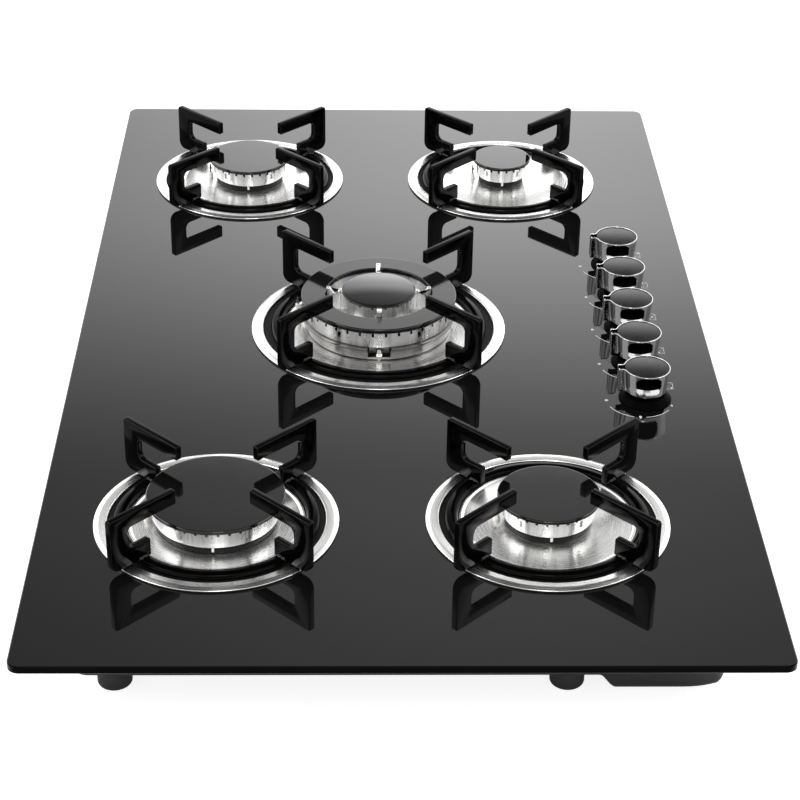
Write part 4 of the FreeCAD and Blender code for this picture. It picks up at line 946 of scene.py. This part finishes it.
# Height of the pressed tray over its plan. The wall's height follows the distance to a round-cornered
# rectangle; the floor drops along the front into the channel through an S-bend and rises again a little,
# as a parabola, before the front wall. Less than a bend above the floor, the wall eases into it: its share g
# of the bend becomes g squared times (2 - g) times (1 + g), halved.
def trayHeight(x, y):
    p = trayLook
    qx = np.abs(x) - (p["halfX"] - p["corner"])
    qy = np.abs(y) - (p["halfY"] - p["corner"])
    outside = np.hypot(np.maximum(qx, 0), np.maximum(qy, 0)) + np.minimum(np.maximum(qx, qy), 0)
    inward = p["corner"] - outside
    channel = 1 - smoothStep((y - p["channelRear"]) / p["channelRun"])
    floor = p["floor"] - (p["floor"] - p["channelFloor"]) * channel
    floor = floor + channel * p["frontRise"] * np.clip((p["frontFrom"] - y) / p["frontRun"], 0, 1) ** 2
    share = np.clip(inward / (p["slope"] + p["channelSlope"] * channel), 0, 1)
    wall = p["top"] - (p["top"] - floor) * share
    blend = p["bend"]
    gap = np.clip((wall - floor) / blend, 0, 1)
    return np.where(wall - floor < blend, floor + blend * gap * gap * (2 - gap) * 0.5 * (1 + gap), wall)


# Plan coordinates gathered where the tray bends.
def trayLines(half, bends):
    near = [bend + np.linspace(-0.012, 0.012, 15) for bend in bends]
    lines = np.concatenate([np.linspace(-half, half, 90)] + near)
    return np.unique(np.round(np.clip(lines, -half, half), 5))


# Underside and top of the sheet, each a grid over the plan, and the flange round them.
def trayPatches():
    p = trayLook
    xs, ys = trayLines(p["halfX"], p["bendsX"]), trayLines(p["halfY"], p["bendsY"])
    gx, gy = np.meshgrid(xs, ys, indexing="xy")
    under = trayHeight(gx, gy)
    lower = np.stack([gx, gy, under], -1)[:, ::-1]
    upper = np.stack([gx, gy, np.minimum(under + p["sheet"], p["top"])], -1)
    u, v = np.append(xs, xs[-1]) * 4, ys * 4
    low, high = p["top"] - p["sheet"], p["top"] - 0.00002
    corners = np.array([[-1, -1], [1, -1], [1, 1], [-1, 1]])
    rings = [("opening", low), ("flange", low), ("flange", high), ("opening", high)]
    rows = np.stack([np.column_stack([corners * p[key], np.full(4, z)]) for key, z in rings])
    even = np.linspace(0, 1, 5)
    return [gridPatch(lower, u[::-1], v, ring=False), gridPatch(upper, u, v, ring=False),
        gridPatch(rows, even, even, loop=True)]


makePiece("traySheet", trayPatches(), [trayPaint], "cooktop", ["base_tray"], sharp=50)

footLook = dict(radius=0.0119, high=0.0162, sole=0.0026, edge=0.0004, xs=(-0.386, 0.386), ys=(0.194, -0.113))
f = footLook
footPatch = turnedPatch([(0, 0), (f["radius"], 0.0, f["sole"]), (f["radius"], f["high"], f["edge"]),
    (0, f["high"])], columns=64, steps=6)
feet = [moved(footPatch, x, y, 0) for x in f["xs"] for y in f["ys"]]
makePiece("rubberFeet", feet, [footRubber], "cooktop", ["rubber_feet"])
print("tray ready")


nodeFinish = {
    "glass_top": blackGlass, "counter_seal": sealFoam, "gas_taps": tapBrass, "gas_rail": zincPlate,
    "rail_brackets": zincPlate, "gas_pipes": pipeAlloy, "injectors": tapBrass, "pulse_igniter": boxPlastic,
}
for number in range(1, 6):
    nodeFinish["tap_stem_%d" % number] = tapBrass
    nodeFinish["spring_seat_%d" % number] = zincPlate
for name, material in nodeFinish.items():
    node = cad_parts[name]
    node.data.materials.clear()
    node.data.materials.append(material)
print("CAD nodes dressed")


studioLook = dict(floorSize=30.0, floorColor=grey(0.82), floorRough=0.9, floorGlow=0.82, mirrorGlow=0.12,
    ambient=0.75)
white = (1, 1, 1, 1)

size = studioLook["floorSize"]
floorMesh = bpy.data.meshes.new("studioFloor")
floorMesh.from_pydata([(-size, -size, 0), (size, -size, 0), (size, size, 0), (-size, size, 0)], [],
    [(0, 1, 2, 3)])
studioFloor = bpy.data.objects.new("studioFloor", floorMesh)
bpy.context.scene.collection.objects.link(studioFloor)
floorMaterial, floorTree, floorShader = newMaterial("floorPale", studioLook["floorColor"],
    roughness=studioLook["floorRough"])
path = add(floorTree, "LightPath")
glow = mathNode(floorTree, "MULTIPLY", path.outputs["Is Camera Ray"], studioLook["floorGlow"])
mirrored = mathNode(floorTree, "MAXIMUM", path.outputs["Is Glossy Ray"], path.outputs["Is Transmission Ray"])
glow = mathNode(floorTree, "ADD", glow, mathNode(floorTree, "MULTIPLY", mirrored, studioLook["mirrorGlow"]))
floorShader.inputs["Emission Color"].default_value = white
floorTree.links.new(glow, floorShader.inputs["Emission Strength"])
floorMesh.materials.append(floorMaterial)

world = bpy.data.worlds.new("studioWorld")
world.use_nodes = True
bpy.context.scene.world = world
worldTree = world.node_tree
background = worldTree.nodes["Background"]
rays = add(worldTree, "LightPath")
split = add(worldTree, "SeparateXYZ", {"Vector": add(worldTree, "TexCoord").outputs["Generated"]})
skyX, skyY, skyZ = (split.outputs[axis] for axis in "XYZ")


# Number that changes from start to end, smoothly, while the value passes from low to high.
def fade(value, low, high, start, end):
    ends = {"From Min": low, "From Max": high, "To Min": start, "To Max": end}
    return add(worldTree, "MapRange", {"Value": value}, interpolation_type="SMOOTHSTEP", **ends).outputs[0]


def combined(operation, *values):
    result = values[0]
    for value in values[1:]:
        result = mathNode(worldTree, operation, result, value)
    return result


# Mirrors see three things: a front that fades with height and is strongest a little to the right of +X, two
# bright sides beyond it, and two patches behind, one low and one high up. Four numbers make a fade: where it
# begins and ends, and its values there. The front's strength across is a bell over a floor.
skyLook = dict(offCentre=0.07, bellNarrow=-25.0, bell=0.567, bellFloor=0.367, frontRest=0.06,
    frontBands=((0.50, 0.80, 0.80, 0.0), (0.42, 0.545, 2.2, 0.0), (0.30, 0.41, 1.0, 0.0)),
    frontFoot=(0.0, 0.3, 0.5, 1.0), frontDepth=(-0.25, 0.35, 0.12, 1.0), sides=(0.21, 0.42, 0.0, 1.6),
    sidesHigh=(0.62, 0.95, 1.0, 0.1), behindLow=(0.36, 0.46, 1.0, 0.0), behindHigh=(0.5, 0.66, 0.0, 1.5),
    behindDepth=(-0.45, -0.25, 1.3, 0.0), behindWide=(0.2, 0.42, 1.0, 0.0))
s = skyLook
offCentre = combined("ADD", skyY, s["offCentre"])
bell = mathNode(worldTree, "EXPONENT", combined("MULTIPLY", offCentre, offCentre, s["bellNarrow"]))
bell = combined("ADD", combined("MULTIPLY", bell, s["bell"]), s["bellFloor"])
band = combined("ADD", *[fade(skyZ, *ends) for ends in s["frontBands"]], s["frontRest"])
front = combined("MULTIPLY", band, fade(skyZ, *s["frontFoot"]), bell, fade(skyX, *s["frontDepth"]))
sideways = mathNode(worldTree, "ABSOLUTE", skyY)
aside = combined("MULTIPLY", fade(sideways, *s["sides"]), fade(skyZ, *s["sidesHigh"]))
behind = combined("ADD", fade(skyZ, *s["behindLow"]), fade(skyZ, *s["behindHigh"]))
behind = combined("MULTIPLY", behind, fade(skyX, *s["behindDepth"]), fade(sideways, *s["behindWide"]))
seenByMirrors = combined("ADD", front, aside, behind)
glossy = combined("MAXIMUM", rays.outputs["Is Glossy Ray"], rays.outputs["Is Transmission Ray"])
diffuseShare = combined("MULTIPLY", combined("SUBTRACT", 1.0, glossy), studioLook["ambient"])
glossyShare = combined("MULTIPLY", glossy, seenByMirrors)
strength = combined("MAXIMUM", rays.outputs["Is Camera Ray"], combined("ADD", diffuseShare, glossyShare))
worldTree.links.new(strength, background.inputs["Strength"])
background.inputs["Color"].default_value = white

# Soft boxes: place, width, depth and power.
boxes = dict(keyBox=((-0.3, 1.9, 2.0), 1.6, 0.9, 30), sideBox=((-0.3, -2.0, 1.8), 1.4, 0.7, 18),
    rearBox=((-1.5, 0.0, 2.3), 0.5, 0.9, 12))
boxTarget = Vector((0, 0, 0.05))
for name, (location, sizeX, sizeY, power) in boxes.items():
    data = bpy.data.lights.new(name, "AREA")
    data.shape = "RECTANGLE"
    data.size, data.size_y, data.energy = sizeX, sizeY, power
    lamp = bpy.data.objects.new(name, data)
    lamp.location = location
    lamp.rotation_euler = (boxTarget - Vector(location)).to_track_quat("-Z", "Y").to_euler()
    bpy.context.scene.collection.objects.link(lamp)

# Camera of the photo: focal length and frame in pixels, angles in degrees.
cameraLook = dict(focal=2146.2, frame=800.0, sensor=36.0, clip=(0.01, 100.0), tilt=30.842, yaw=-1.512,
    roll=0.875, at=(-1.5427, 0.0341, 0.9138))
c = cameraLook
tilt, yaw, roll = (math.radians(c[k]) for k in ("tilt", "yaw", "roll"))
forward = Vector((math.cos(tilt) * math.cos(yaw), math.cos(tilt) * math.sin(yaw), -math.sin(tilt)))
right = Vector((math.sin(yaw), -math.cos(yaw), 0))
up = right.cross(forward)
turnedRight = right * math.cos(roll) + up * math.sin(roll)
turnedUp = up * math.cos(roll) - right * math.sin(roll)
cameraData = bpy.data.cameras.new("photoCamera")
cameraData.sensor_width = c["sensor"]
cameraData.lens = c["focal"] * c["sensor"] / c["frame"]
cameraData.clip_start, cameraData.clip_end = c["clip"]
camera = bpy.data.objects.new("photoCamera", cameraData)
turn = Matrix((turnedRight, turnedUp, -forward)).transposed()
camera.matrix_world = Matrix.Translation(Vector(c["at"])) @ turn.to_4x4()
bpy.context.scene.collection.objects.link(camera)
bpy.context.scene.camera = camera
bpy.context.scene.view_settings.view_transform = "Standard"
print("studio ready")
